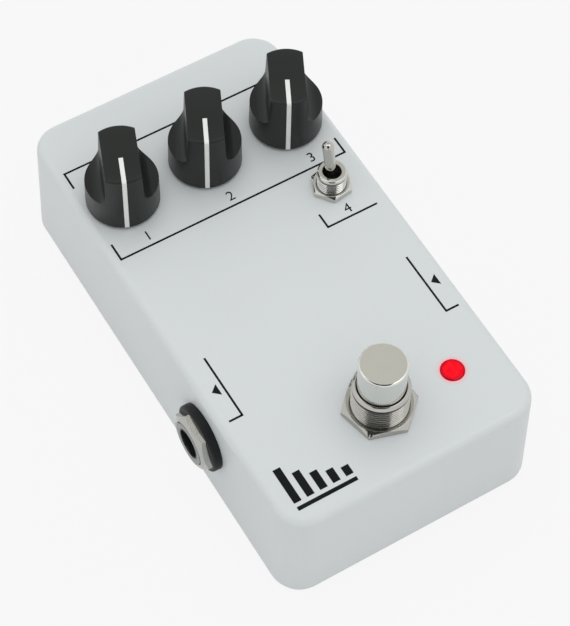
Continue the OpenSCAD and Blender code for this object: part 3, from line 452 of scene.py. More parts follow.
def threaded_bushing(name, profile, crest, root, pitch, top, plate, soft):
    """A turned bushing with a thread up to a height, and at its foot a plate given by half its size."""
    low = profile[0][1]
    thick = 0.8 * MM
    core = soften(ring(name + "_core", profile), soft)
    ridge = soften(thread(name + "_thread", crest, root, pitch, PANEL_Z, top), 0.0, smooth=20)
    base = block(name + "_plate", (-plate.x, -plate.y, low), (plate.x, plate.y, low + thick))
    combine(base, [rod("bore", root, low - MM, low + 2 * MM)], "DIFFERENCE")
    return joined(name + "_bushing_plated", [core, ridge, base])


def middle_of(node):
    """The middle of a node's box."""
    low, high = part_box(node)
    return (low + high) / 2


def hand_over(piece, body, slot, *nodes, look=None):
    """Gives a piece its finish and its body, and lets it stand for its nodes."""
    wear(piece, look or slot)
    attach(piece, body)
    if nodes:
        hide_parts(*nodes)


# Finishes

def feed(tree, node, feeds):
    """Links a node's inputs to other nodes' outputs, or gives them values of their own."""
    for title, source in feeds.items():
        if isinstance(source, bpy.types.NodeSocket):
            tree.links.new(source, node.inputs[title])
        else:
            node.inputs[title].default_value = source


def put(tree, kind, feeds=None, **settings):
    """The outputs of a new shader node with these feeds and settings."""
    node = tree.nodes.new("ShaderNode" + kind)
    for key, value in settings.items():
        setattr(node, key, value)
    feed(tree, node, feeds or {})
    return node.outputs


def shade(tree, feeds):
    """Feeds a material's shader."""
    feed(tree, tree.nodes["Principled BSDF"], feeds)


def shaded(tree, title):
    """What feeds an input of a material's shader."""
    return tree.nodes["Principled BSDF"].inputs[title].links[0].from_socket


def maths(tree, operation, first, second=0.0):
    """The result of one sum."""
    return put(tree, "Math", {0: first, 1: second}, operation=operation)["Value"]


def spread(tree, value, start, end, low=0.0, high=1.0):
    """A value that goes from low to high while another goes from start to end."""
    feeds = {"Value": value, "From Min": start, "From Max": end, "To Min": low, "To Max": high}
    return put(tree, "MapRange", feeds)["Result"]


def blend(tree, share, first, second):
    """One colour that becomes another as a share grows."""
    return put(tree, "Mix", {"Factor": share, "A": first, "B": second}, data_type="RGBA")["Result"]


def bumped(tree, height, depth, under=None):
    """Normals from a height, in millimetres of depth, over other normals."""
    feeds = {"Strength": 1.0, "Distance": depth * MM, "Height": height}
    if under is not None:
        feeds["Normal"] = under
    return put(tree, "Bump", feeds)["Normal"]


def own_place(tree):
    """The object's own coordinates."""
    return put(tree, "TexCoord")["Object"]


def noise(tree, scale, detail):
    """Noise on the object's own coordinates."""
    return put(tree, "TexNoise", {"Vector": own_place(tree), "Scale": scale, "Detail": detail})["Fac"]


def centred(tree, axis):
    """Object coordinates moved so that an upright axis passes through their origin."""
    return put(tree, "Mapping", {"Vector": own_place(tree), "Location": (-axis.x, -axis.y, 0.0)})["Vector"]


def from_axis(tree, vector):
    """The distance of a vector from the upright axis, and its height."""
    split = put(tree, "SeparateXYZ", {"Vector": vector})
    flat = put(tree, "CombineXYZ", {"X": split["X"], "Y": split["Y"]})["Vector"]
    return put(tree, "VectorMath", {0: flat}, operation="LENGTH")["Value"], split["Z"]


def new_group(name, inputs, outputs):
    """An empty shader group with named sockets: its tree, what comes in and where it leaves."""
    group = bpy.data.node_groups.new(name, "ShaderNodeTree")
    for way, sockets in (("INPUT", inputs), ("OUTPUT", outputs)):
        for title, kind in sockets.items():
            group.interface.new_socket(name=title, in_out=way, socket_type="NodeSocket" + kind)
    entry = group.nodes.new("NodeGroupInput")
    leave = group.nodes.new("NodeGroupOutput")
    return group, entry.outputs, leave


def place_group(tree, name, feeds):
    """A shared group in a material, with this material's own feeds."""
    return put(tree, "Group", feeds, node_tree=bpy.data.node_groups[name])


def build_grain_group():
    """Fine grain: a roughness between two values, and a height for a bump."""
    sockets = {"Scale": "Float", "Low": "Float", "High": "Float"}
    group, given, leave = new_group("Fine Grain", sockets, {"Roughness": "Float", "Height": "Float"})
    grain = noise(group, given["Scale"], detail=3.0)
    rough = spread(group, grain, start=0.3, end=0.7, low=given["Low"], high=given["High"])
    feed(group, leave, {"Roughness": rough, "Height": grain})


def build_tone_group():
    """Slow drift between two close tones."""
    sockets = {"Light Tone": "Color", "Deep Tone": "Color", "Scale": "Float"}
    group, given, leave = new_group("Tone Drift", sockets, {"Color": "Color"})
    share = spread(group, noise(group, given["Scale"], detail=2.0), start=0.35, end=0.65)
    feed(group, leave, {"Color": blend(group, share, given["Light Tone"], given["Deep Tone"])})


def build_turned_group():
    """Rings about an upright axis, as a cutting tool leaves them."""
    sockets = {"Vector": "Vector", "Rings": "Float"}
    group, given, leave = new_group("Turned Rings", sockets, {"Height": "Float"})
    reach = from_axis(group, given["Vector"])[0]
    wave = maths(group, "SINE", maths(group, "MULTIPLY", reach, given["Rings"]))
    feed(group, leave, {"Height": wave})


def build_groove_group():
    """Painted shade: darkens and dulls what lies inside a crest radius about an upright axis, below a height, so
    that thread grooves and throats look shaded.
    """
    sockets = {
        "Vector": "Vector", "Root": "Float", "Crest": "Float", "Top": "Float",
        "Light Tone": "Color", "Painted Shade Tone": "Color",
    }
    group, given, leave = new_group("Groove Shade", sockets, {"Color": "Color", "Plate": "Float"})
    reach, height = from_axis(group, given["Vector"])
    outside = spread(group, reach, given["Root"], given["Crest"])
    plate = maths(group, "MAXIMUM", outside, maths(group, "GREATER_THAN", height, given["Top"]))
    tone = blend(group, plate, given["Painted Shade Tone"], given["Light Tone"])
    feed(group, leave, {"Color": tone, "Plate": plate})


def finish_name(slot):
    """The name of the finish for a slot, apart from the plain material that the frame brings."""
    return slot.replace("_", " ") + " finish"


def finish(slot, tone, deep=0.9, drift=60.0, rough=(0.35, 0.45), depth=0.01, metal=0.0, gloss=0.5):
    """The tree of a finish with drifting tone, grained roughness and a bump, in millimetres of depth."""
    material = bpy.data.materials.new(finish_name(slot))
    material.use_nodes = True
    tree = material.node_tree
    deeper = (*(level * deep for level in tone[:3]), 1.0)
    drifting = place_group(tree, "Tone Drift", {"Light Tone": tone, "Deep Tone": deeper, "Scale": drift})
    grain = place_group(tree, "Fine Grain", {"Scale": GRAIN_SCALE, "Low": rough[0], "High": rough[1]})
    shade(tree, {
        "Base Color": drifting["Color"], "Metallic": metal, "Specular IOR Level": gloss,
        "Roughness": grain["Roughness"], "Normal": bumped(tree, grain["Height"], depth),
    })
    return tree


def groove_finish(slot, tone, dark, axis, root, crest, top, **values):
    """A plated finish with painted shade, dark and dull inside a thread's crests, below a height."""
    tree = finish(slot, tone, metal=1.0, **values)
    plate = place_group(tree, "Groove Shade", {
        "Vector": centred(tree, axis), "Root": root, "Crest": crest, "Top": top,
        "Light Tone": shaded(tree, "Base Color"), "Painted Shade Tone": dark,
    })
    shade(tree, {"Base Color": plate["Color"], "Metallic": plate["Plate"]})


def turned_finish(slot, tone, axis, rings, ring_depth, **values):
    """A metal finish with the rings of a lathe about an upright axis."""
    tree = finish(slot, tone, metal=1.0, **values)
    lines = place_group(tree, "Turned Rings", {"Vector": centred(tree, axis), "Rings": rings})
    shade(tree, {"Normal": bumped(tree, lines["Height"], ring_depth, shaded(tree, "Normal"))})


def lamp_finish(settings, axis):
    """A red lens that shines, with a darker rim."""
    clear_r, rim_r = 1.7 * MM, 2.5 * MM
    tree = finish("lamp_red", settings.dye, rough=(0.08, 0.14), depth=0.0, gloss=0.1)
    reach = from_axis(tree, centred(tree, axis))[0]
    tones = {"Light Tone": settings.glow, "Deep Tone": settings.spark, "Scale": 1200}
    specks = place_group(tree, "Tone Drift", tones)["Color"]
    light = blend(tree, spread(tree, reach, clear_r, rim_r), specks, settings.rim)
    shade(tree, {"Emission Color": light, "Emission Strength": 1.0})


def paint_finish(settings, glow, axis):
    """Satin paint with the lamp's glow painted into its colour close to the lens."""
    near_r, far_r, most = 2.5 * MM, 3.6 * MM, 0.8
    tree = finish("case_paint", settings.paint, deep=0.985, drift=25, rough=(0.36, 0.44), depth=0.004)
    reach, height = from_axis(tree, centred(tree, axis))
    # Painted light: a share of the glow, fading out from the lens, mixed into the panel's colour.
    panel = maths(tree, "GREATER_THAN", height, PANEL_Z - 0.5 * MM)
    share = maths(tree, "MULTIPLY", spread(tree, reach, near_r, far_r, most, 0.0), panel)
    shade(tree, {"Base Color": blend(tree, share, shaded(tree, "Base Color"), glow)})


def wear(piece, look):
    """Gives a piece one finish."""
    piece.data.materials.clear()
    piece.data.materials.append(bpy.data.materials[finish_name(look)])


class PEDAL_OT_finishes(bpy.types.Operator):
    """Builds every finish and gives the solids that stay theirs"""

    bl_idname = "pedal.finishes"
    bl_label = "Finishes"

    def execute(self, context):
        scene = context.scene
        for build in (build_grain_group, build_tone_group, build_turned_group, build_groove_group):
            build()
        lamp = middle_of("led_lens")
        paint_finish(scene.pedal_case, scene.pedal_lamp.painted_lamp_glow, lamp)
        lamp_finish(scene.pedal_lamp, lamp)
        self.plated(scene.pedal_metal)
        ink, knobs = scene.pedal_print.ink, scene.pedal_knobs
        finish("panel_ink", ink, deep=0.8, drift=400, rough=(0.45, 0.6), depth=0.004, gloss=0.1)
        finish("knob_black", knobs.plastic, deep=0.8, rough=(0.3, 0.38), depth=0.004, gloss=0.26)
        finish("pointer_white", knobs.white, deep=0.94, drift=200, rough=(0.45, 0.6))
        finish("jack_black", tint(27, 30, 31), deep=0.8, rough=(0.42, 0.55), depth=0.006, gloss=0.2)
        for slot, (levels, drift, rough, metal) in PLAIN.items():
            finish(slot, tint(*levels), drift=drift, rough=rough, metal=metal)
        for node, slot in SLOT_OF.items():
            wear(frame["nodes"][node], "dull_nickel" if node.endswith("_jack_sleeve") else slot)
        return {"FINISHED"}

    def plated(self, plate):
        """The plated finishes of the switches and the sockets."""
        foot, toggle = middle_of("footswitch_nut"), middle_of("toggle_nut")
        foot_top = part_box("footswitch_bushing")[1].z
        toggle_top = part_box("toggle_bushing")[1].z
        nut_look = {"deep": 0.95, "drift": 120, "depth": 0.001, "metal": 1.0}
        finish("nickel", plate.nickel, rough=(0.1, 0.18), **nut_look)
        finish("bright_nickel", plate.bright, rough=(0.12, 0.2), **nut_look)
        finish("dull_nickel", plate.dull, drift=300, rough=(0.25, 0.35), metal=1.0)
        finish("socket_nickel", plate.socket, drift=400, rough=(0.16, 0.24), depth=0.0005, metal=1.0)
        turned_finish(
            "button_metal", plate.chrome, foot, rings=14000, ring_depth=0.0003,
            deep=0.97, rough=(0.07, 0.12), depth=0.001,
        )
        # Painted shade in the grooves of the big thread, below its top.
        groove_finish(
            "foot_thread", plate.nickel, plate.painted_groove_shade, foot, rough=(0.14, 0.22), depth=0.002,
            root=5.62 * MM, crest=5.9 * MM, top=foot_top - 0.7 * MM,
        )
        # Painted shade in the toggle's throat and the grooves of its thread.
        groove_finish(
            "toggle_thread", plate.bright, plate.throat, toggle, rough=(0.14, 0.22), depth=0.002,
            root=2.86 * MM, crest=3.1 * MM, top=toggle_top - 0.8 * MM,
        )
        # Painted shade: the lever turns dark below where it sinks into the throat.
        groove_finish(
            "lever_metal", plate.nickel, plate.painted_groove_shade, toggle, rough=(0.1, 0.16), depth=0.001,
            root=2.9 * MM, crest=3.0 * MM, top=toggle_top - 2.2 * MM,
        )


# Enclosure

class PEDAL_OT_shell(bpy.types.Operator):
    """Models the painted die-cast shell with its posts and holes"""

    bl_idname = "pedal.shell"
    bl_label = "Shell"

    def execute(self, context):
        settings = context.scene.pedal_case
        shell = self.outside(settings)
        self.hollow(shell, settings)
        self.posts(shell, settings)
        self.holes(shell, settings)
        soften(shell, 0.0)
        hand_over(shell, "pedal", "case_paint", "enclosure")
        return {"FINISHED"}

    def outside(self, settings):
        """The drafted box with rounded corners and edges."""
        low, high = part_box("enclosure")
        size = high - low
        shell = block("shell_painted", low, high)
        bpy.ops.object.mode_set(mode="EDIT")
        upright = lambda edge: abs(edge.verts[0].co.z - edge.verts[1].co.z) > size.z / 2
        select_where(shell, "EDGE", upright)
        bpy.ops.mesh.bevel(offset=settings.corner, segments=20, affect="EDGES")
        select_where(shell, "FACE", lambda face: face.normal.z > 0.9)
        shrink = (1 - 2 * settings.draft / size.x, 1 - 2 * settings.draft / size.y, 1)
        bpy.ops.transform.resize(value=shrink, center_override=(0, 0, high.z))
        for height, radius, segments in ((high.z, settings.edge, 8), (low.z, settings.rim, 3)):
            level = lambda edge: all(abs(end.co.z - height) < MERGE_GAP for end in edge.verts)
            select_where(shell, "EDGE", level)
            bpy.ops.mesh.bevel(offset=radius, segments=segments, affect="EDGES")
        return shell

    def hollow(self, shell, settings):
        """The inside, drawn up from the lower rim."""
        low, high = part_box("enclosure")
        select_where(shell, "FACE", lambda face: face.normal.z < -0.99)
        bpy.ops.mesh.inset(thickness=settings.wall - settings.rim)
        rise = (0, 0, high.z - settings.roof - low.z)
        bpy.ops.mesh.extrude_region_move(TRANSFORM_OT_translate={"value": rise})
        bpy.ops.object.mode_set(mode="OBJECT")

    def posts(self, shell, settings):
        """Four posts that take the cover screws."""
        low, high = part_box("enclosure")
        screws_low, screws_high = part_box("cover_screws")
        head = 2.7 * MM
        bore = 1.4 * MM
        inside = high.z - settings.roof / 2
        for x in (screws_low.x + head, screws_high.x - head):
            for y in (screws_low.y + head, screws_high.y - head):
                combine(shell, [rod("post", settings.post, low.z, inside, x, y)], "UNION")
                combine(shell, [rod("bore", bore, low.z - MM, screws_high.z + MM, x, y)], "DIFFERENCE")

    def holes(self, shell, settings):
        """Holes for the lamp, the bushings and the sockets."""
        room = settings.hole_room
        low, high = PANEL_Z - settings.roof - MM, PANEL_Z + MM
        foot_r, toggle_r, lamp_r, shaft_r = 6.0 * MM, 3.175 * MM, 2.5 * MM, 3.5 * MM
        socket_r, socket_reach = 4.75 * MM, 8 * MM
        power_r, power_reach = 4.0 * MM, 6 * MM
        foot, toggle, lamp = (middle_of(node) for node in ("footswitch_nut", "toggle_nut", "led_lens"))
        cutters = [
            rod("cut", foot_r + room, low, high, foot.x, foot.y),
            rod("cut", toggle_r + room, low, high, toggle.x, toggle.y),
            rod("cut", lamp_r + room / 2, low, high, lamp.x, lamp.y, SPIN_STEPS),
        ]
        for knob in KNOBS:
            axis = JOINT_AT[knob + "_turn"]
            cutters.append(rod("cut", shaft_r + room, low, high, axis.x, axis.y))
        for socket, side in SOCKETS.items():
            cutter = rod("cut", socket_r + room, -socket_reach, socket_reach)
            cutters.append(settle(cutter, middle_of(socket + "_jack_nut"), (0, side * QUARTER, 0)))
        power = middle_of("dc_jack_housing")
        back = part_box("enclosure")[1].y
        cutter = rod("cut", power_r + room, -power_reach, power_reach, steps=SPIN_STEPS)
        cutters.append(settle(cutter, (power.x, back, power.z), (QUARTER, 0, 0)))
        combine(shell, cutters, "DIFFERENCE")


# Printing

class PEDAL_OT_print(bpy.types.Operator):
    """Prints the frame lines, brackets, digits and marks on the top panel"""

    bl_idname = "pedal.print"
    bl_label = "Printing"

    def execute(self, context):
        settings = context.scene.pedal_print
        marks = self.lines(settings) + self.digits(settings) + self.arrows(settings) + self.echoes(settings)
        printing = joined("panel_printing", marks)
        drop_slivers(printing)
        hand_over(printing, "pedal", "case_paint", look="panel_ink")
        return {"FINISHED"}

    def bar(self, settings, x0, y0, x1, y1):
        """An ink bar between two corners, in millimetres on the panel."""
        low = (min(x0, x1) * MM, min(y0, y1) * MM, PANEL_Z - settings.film)
        high = (max(x0, x1) * MM, max(y0, y1) * MM, PANEL_Z + settings.film)
        return block("bar", low, high)

    def stroke(self, settings, x0, y0, x1, y1):
        """A printed line from one point to another, along X or Y."""
        half = settings.line / MM / 2
        if x0 == x1:
            return self.bar(settings, x0 - half, y0, x1 + half, y1)
        return self.bar(settings, x0, y0 - half, x1, y1 + half)

    def lines(self, settings):
        """The knobs' frame with its corner legs, and the brackets at the toggle and the sockets."""
        half = settings.line / MM / 2
        side, back, front, leg = 27.3, 42.39, 17.35, 4.3
        strokes = [
            (-side - half, back, side + half, back),
            (-side - half, front, side + half, front),
        ]
        for x in (-side, side):
            strokes.append((x, back, x, back - leg))
            strokes.append((x, front, x, front + leg))
        corner_x, corner_y, corner_back, corner_side = 14.12, 2.62, 6.3, 26.25
        strokes.append((corner_x, corner_y - half, corner_x, corner_back))
        strokes.append((corner_x, corner_y, corner_side, corner_y))
        inner, outer, start, end = 24.3, 27.35, -12.0, -27.28
        for way in (-1, 1):
            strokes.append((way * inner, start, way * inner, end - half))
            strokes.append((way * inner, end, way * outer, end))
        return [self.stroke(settings, *ends) for ends in strokes]

    def digits(self, settings):
        """Plain digits at the knobs and the toggle."""
        knob_row, toggle_row = 18.7 * MM, 3.6 * MM
        places = [(JOINT_AT[knob + "_turn"].x, knob_row) for knob in KNOBS]
        places.append((middle_of("toggle_nut").x, toggle_row))
        return [self.digit(settings, str(k + 1), place) for k, place in enumerate(places)]

    def digit(self, settings, words, place):
        """One digit as a thin raised film."""
        clear_selection()
        bpy.ops.object.text_add(location=(0, 0, 0))
        text = bpy.context.object
        text.data.body = words
        text.data.size = settings.digit
        text.data.align_x = "CENTER"
        text.data.extrude = settings.film
        bpy.ops.object.convert(target="MESH")
        open_up(text)
        bpy.ops.mesh.remove_doubles(threshold=MERGE_GAP)
        bpy.ops.mesh.dissolve_limited(angle_limit=math.radians(0.1))
        bpy.ops.object.mode_set(mode="OBJECT")
        return settle(named("digit"), (*place, PANEL_Z))

    def arrows(self, settings):
        """Triangles at the sockets that show which way the signal runs."""
        side, reach, half, y = 26.2 * MM, 0.8 * MM, 1.4 * MM, -19.8 * MM
        low = PANEL_Z - settings.film
        arrows = []
        for x in (-side, side):
            outline = [(x - reach, y, low), (x + reach, y - half, low), (x + reach, y + half, low)]
            arrows.append(prism("arrow", outline, (0, 0, 2 * settings.film)))
        return arrows

    def echoes(self, settings):
        """A row of bars that fade like echoes, over a base line."""
        left, base, pitch, width, tall, fade, count = -25.6, -49.6, 3.0, 1.7, 8.4, 0.72, 5
        line_low, line_high = -51.4, -50.5
        bars = [self.bar(settings, left, line_low, left + (count - 1) * pitch + width, line_high)]
        for k in range(count):
            x = left + k * pitch
            bars.append(self.bar(settings, x, base, x + width, base + tall * fade ** k))
        return bars


# Knobs

class PEDAL_OT_knobs(bpy.types.Operator):
    """Turns and scoops one knob with its pointer line, and copies it to the three shafts"""

    bl_idname = "pedal.knobs"
    bl_label = "Knobs"

    def execute(self, context):
        settings = context.scene.pedal_knobs
        low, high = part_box("mix_knob")
        height = high.z - low.z
        body = self.body(settings, height)
        line = self.line(settings, height)
        for knob in KNOBS:
            axis = JOINT_AT[knob + "_turn"]
            reach = middle_of(knob + "_pointer_line") - axis
            turn = (0, 0, math.atan2(reach.x, -reach.y))
            place = (axis.x, axis.y, low.z)
            for model, ending, slot, node in (
                (body, "_knob_moulded", "knob_black", "_knob"),
                (line, "_pointer_inlay", "pointer_white", "_pointer_line"),
            ):
                piece = settle(copy_of(model, knob + ending), place, turn)
                hand_over(piece, knob + "_dial", slot, knob + node)
        bpy.data.objects.remove(body)
        bpy.data.objects.remove(line)
        return {"FINISHED"}

    def outline(self, settings, height, inset):
        """Half outline from the foot to the middle of the top, drawn in by an inset."""
        edge, steps = settings.edge, 6
        shoulder = height - settings.crown
        rim = settings.top - inset - edge
        shares = [k / steps for k in range(steps - 1, -1, -1)]
        crown = [(rim * share, height - inset - settings.crown * share ** 2) for share in shares]
        return [
            (settings.foot - inset, 0.0),
            (settings.waist - inset, settings.floor),
            *arc((rim, shoulder - inset - edge), edge, 0, 90, 5),
            *crown,
        ]

    def body(self, settings, height):
        """The turned body with its cavity, cut by a scoop on either side of the grip."""
        cavity, cavity_top = 6.57 * MM, 2.8 * MM
        bore, bore_top = 3.04 * MM, 10.6 * MM
        inside = [(0.0, bore_top), (bore, bore_top), (bore, cavity_top), (cavity, cavity_top), (cavity, 0.0)]
        piece = turned("knob", inside + self.outline(settings, height, 0.0), steps=128)
        scoop = self.scoop(settings, height)
        other = settle(copy_of(scoop, "scoop_copy"), turn=(0, 0, math.pi))
        combine(piece, [scoop, other], "DIFFERENCE")
        return soften(piece, settings.soft, segments=3)

    def scoop(self, settings, height):
        """The prism that clears one side of the grip."""
        half = settings.grip / 2
        foot = half + settings.grip_draft
        far = 2 * settings.foot
        above = height + MM
        hollow = arc((foot + settings.scoop, settings.floor + settings.scoop), settings.scoop, 180, 270, 8)
        outline = [(far, above), (half, above), (half, height), *hollow, (far, settings.floor)]
        return prism("scoop", [(x, -far, z) for x, z in outline], (0, 2 * far, 0))

    def line(self, settings, height):
        """The white line from near the middle, over the edge and down to the foot."""
        proud, deep, soft = 0.04 * MM, 0.3 * MM, 0.02 * MM
        strip = []
        for inset in (-proud, deep):
            points = [p for p in self.outline(settings, height, inset) if p[0] > settings.line_start]
            points.append((settings.line_start, height - inset))
            strip.append(points)
        outline = strip[0] + strip[1][::-1]
        half = settings.line / 2
        piece = prism("line", [(-half, -radius, z) for radius, z in outline], (settings.line, 0, 0))
        return soften(piece, soft)


# Toggle switch

class PEDAL_OT_toggle(bpy.types.Operator):
    """Models the threaded toggle bushing, its nut and the bat lever"""

    bl_idname = "pedal.toggle"
    bl_label = "Toggle switch"

    def execute(self, context):
        settings = context.scene.pedal_metal
        low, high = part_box("toggle_nut")
        place = middle_of("toggle_nut").xy.to_3d()
        crest, root = 3.175 * MM, 2.86 * MM
        across, bore = 8 * MM, root + 0.2 * MM
        turn, cone, face = math.radians(8), 0.45 * MM, 3.88 * MM
        piece = nut("toggle_nut_plated", across, low.z, high.z, bore, turn, cone, face, settings.soft)
        hand_over(settle(piece, place), "pedal", "nickel", "toggle_nut", look="bright_nickel")
        piece = self.bushing(settings, crest, root)
        hand_over(settle(piece, place), "pedal", "nickel", "toggle_bushing", look="toggle_thread")
        hand_over(self.lever(), "toggle_arm", "nickel", "toggle_lever", look="lever_metal")
        return {"FINISHED"}

    def bushing(self, settings, crest, root):
        """The bushing above its plate, with a threaded side and an open throat."""
        low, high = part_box("toggle_bushing")
        throat, seat, lead = 1.95 * MM, 2.4 * MM, 0.15 * MM
        chamfer, collar = 0.3 * MM, 0.7 * MM
        pivot = JOINT_AT["toggle_tip"].z
        ledge, under = pivot + 1.4 * MM, pivot + 1.3 * MM
        top = high.z - collar
        profile = [
            (seat, low.z), (root, low.z), (root, top - chamfer), (crest, top), (crest, high.z - chamfer),
            (crest - chamfer, high.z), (throat + lead, high.z), (throat, high.z - lead), (throat, ledge),
            (seat, under),
        ]
        pitch, plate = settings.toggle_pitch, (high - low) / 2
        return threaded_bushing("toggle", profile, crest, root, pitch, top, plate, settings.soft)

    def lever(self):
        """The bat lever with its ball, leaning as it rests."""
        pivot = JOINT_AT["toggle_tip"]
        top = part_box("toggle_lever")[1]
        tip, neck, ball, shank = 1.3 * MM, 1.14 * MM, 1.35 * MM, 0.5 * MM
        taper, bat = 0.05 * MM, 2 * MM
        lean = math.radians(13)
        reach = (top.z - pivot.z - tip) / math.cos(lean)
        below = pivot.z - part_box("toggle_lever")[0].z
        start = math.degrees(math.acos(shank / ball))
        end = math.degrees(math.acos(neck / ball))
        profile = [
            (0.0, -below), (shank, -below), *arc((0, 0), ball, -start, end, 14),
            (tip - taper, reach - bat), *arc((0, reach), tip, 0, 90, 8),
        ]
        piece = soften(turned("toggle_lever_plated", profile, steps=48), 0.0)
        return settle(piece, pivot, (-lean, 0, 0))


# Footswitch

class PEDAL_OT_footswitch(bpy.types.Operator):
    """Models the footswitch's nut, threaded bushing and button"""

    bl_idname = "pedal.footswitch"
    bl_label = "Footswitch"

    def execute(self, context):
        settings = context.scene.pedal_metal
        low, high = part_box("footswitch_nut")
        place = middle_of("footswitch_nut").xy.to_3d()
        crest, root = 6.0 * MM, 5.62 * MM
        across, bore = 14 * MM, root + 0.25 * MM
        turn, cone, face = math.radians(43), 0.85 * MM, 6.88 * MM
        piece = nut("footswitch_nut_plated", across, low.z, high.z, bore, turn, cone, face, settings.soft)
        hand_over(settle(piece, place), "pedal", "nickel", "footswitch_nut")
        piece = self.bushing(settings, crest, root)
        hand_over(settle(piece, place), "pedal", "nickel", "footswitch_bushing", look="foot_thread")
        piece = settle(self.button(), place)
        hand_over(piece, "foot_button", "nickel", "footswitch_button", look="button_metal")
        self.spring(place)
        return {"FINISHED"}

    def bushing(self, settings, crest, root):
        """The bushing above its plate, with a threaded side and a countersunk bore."""
        low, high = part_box("footswitch_bushing")
        bore, inner, stem = 5.15 * MM, 5.4 * MM, 1.7 * MM
        chamfer, runout, sink = 0.6 * MM, 0.35 * MM, 0.1 * MM
        top = high.z - chamfer
        lip, floor = high.z - 5.0 * MM, low.z + 1.8 * MM
        profile = [
            (stem, low.z), (root, low.z), (root, top - runout), (crest, top), (crest - chamfer, high.z),
            (bore + sink, high.z), (bore, high.z - sink), (bore, lip), (inner, lip - sink), (inner, floor),
            (stem, floor),
        ]
        pitch, plate = settings.foot_pitch, ((high - low) / 2).xx
        return threaded_bushing("footswitch", profile, crest, root, pitch, top, plate, settings.soft)

    def button(self):
        """The turned button with a rounded rim and a small centre mark."""
        low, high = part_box("footswitch_button")
        stem, stem_top = 1.5 * MM, low.z + 14 * MM
        side, flange = 5.0 * MM, 5.3 * MM
        edge, dome = 0.4 * MM, 0.015 * MM
        mark, slope, dip = 0.22 * MM, 0.03 * MM, 0.05 * MM
        rim = high.z - dome
        profile = [
            (0.0, low.z), (stem, low.z), (stem, stem_top), (flange, stem_top), (flange, stem_top + MM),
            (side, stem_top + MM), *arc((side - edge, rim - edge), edge, 0, 90, 6),
            (side / 2, high.z - dome / 4), (2 * mark, high.z), (mark, high.z - slope), (0.0, high.z - dip),
        ]
        return soften(turned("footswitch_button_plated", profile, steps=128), 0.0)

    def spring(self, place):
        """The wound return spring."""
        low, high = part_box("footswitch_spring")
        wire, coil, turns = 0.3 * MM, 3.2 * MM, 5
        tall = high.z - low.z
        piece = half_section("footswitch_spring_wound", arc((coil, low.z + wire), wire, 0, 360, 10))
        wind(piece, (tall - 2 * wire) / turns, turns)
        soften(settle(piece, place), 0.0)
        hand_over(piece, "pedal", "steel", "footswitch_spring")
        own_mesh(piece)


# Lamp

class PEDAL_OT_lamp(bpy.types.Operator):
    """Turns the lamp's lens"""

    bl_idname = "pedal.lamp"
    bl_label = "Lamp"

    def execute(self, context):
        low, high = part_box("led_lens")
        flange, side, step, edge, steps = 2.9 * MM, 2.55 * MM, 1.0 * MM, 0.12 * MM, 10
        shoulder = PANEL_Z + edge
        rise = high.z - shoulder
        shares = [1 - k / steps for k in range(steps + 1)]
        cap = [(side * share, shoulder + rise * math.sqrt(1 - share ** 2)) for share in shares]
        profile = [(0.0, low.z), (flange, low.z), (flange, low.z + step), (side, low.z + step), *cap]
        lens = soften(turned("lamp_lens", profile), 0.0)
        hand_over(settle(lens, middle_of("led_lens").xy.to_3d()), "pedal", "lamp_red", "led_lens")
        return {"FINISHED"}


# Sockets

class PEDAL_OT_sockets(bpy.types.Operator):
    """Models the washers, nuts and liners of the two signal sockets"""

    bl_idname = "pedal.sockets"
    bl_label = "Signal sockets"

    def execute(self, context):
        soft = context.scene.pedal_metal.soft
        for socket, side in SOCKETS.items():
            low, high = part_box(socket + "_jack_nut")
            middle = (low + high) / 2
            outside = max(abs(low.x), abs(high.x))
            thick = high.x - low.x
            place = (side * (outside - thick), middle.y, middle.z)
            turn = (0, side * QUARTER, 0)
            hex_turn = math.radians(SOCKET_NUT_TURN[socket])
            across, bore, cone, face = 12 * MM, 4.85 * MM, thick / 2, 5.25 * MM
            piece = nut(socket + "_nut_plated", across, 0.0, thick, bore, hex_turn, cone, face, soft)
            settle(piece, place, turn)
            hand_over(piece, "pedal", "nickel", socket + "_jack_nut", look="socket_nickel")
            piece = settle(self.washer(socket), place, turn)
            hand_over(piece, "pedal", "jack_black", socket + "_jack_washer")
            piece = settle(self.liner(socket, thick), place, turn)
            hand_over(piece, "pedal", "jack_black")
        return {"FINISHED"}

    def washer(self, socket):
        """The black washer, rounded towards the plug."""
        low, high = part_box(socket + "_jack_washer")
        thick = high.x - low.x
        outer, inner, round_r = 7.5 * MM, 4.85 * MM, min(0.55 * MM, 0.3 * thick)
        corner = arc((outer - round_r, -round_r), round_r, 0, 90, 6)
        profile = [(inner, -thick), (outer, -thick), *corner, (inner, 0.0)]
        return soften(ring(socket + "_washer_black", profile), 0.0)

    def liner(self, socket, thick):
        """The black mouth inside the threaded sleeve."""
        outer, bore, proud, lead, deep = 3.5 * MM, 3.2 * MM, 0.02 * MM, 0.2 * MM, 20 * MM
        front = thick + proud
        mouth = [(bore + lead, front), (bore, front - 2 * lead)]
        profile = [(bore, -deep), (outer, -deep), (outer, front), *mouth]
        return soften(ring(socket + "_mouth_black", profile), 0.0)


# Stage

def facing(place):
    """The turn of something at a place that looks at the pedal."""
    return (-Vector(place)).to_track_quat("-Z", "Y").to_euler()


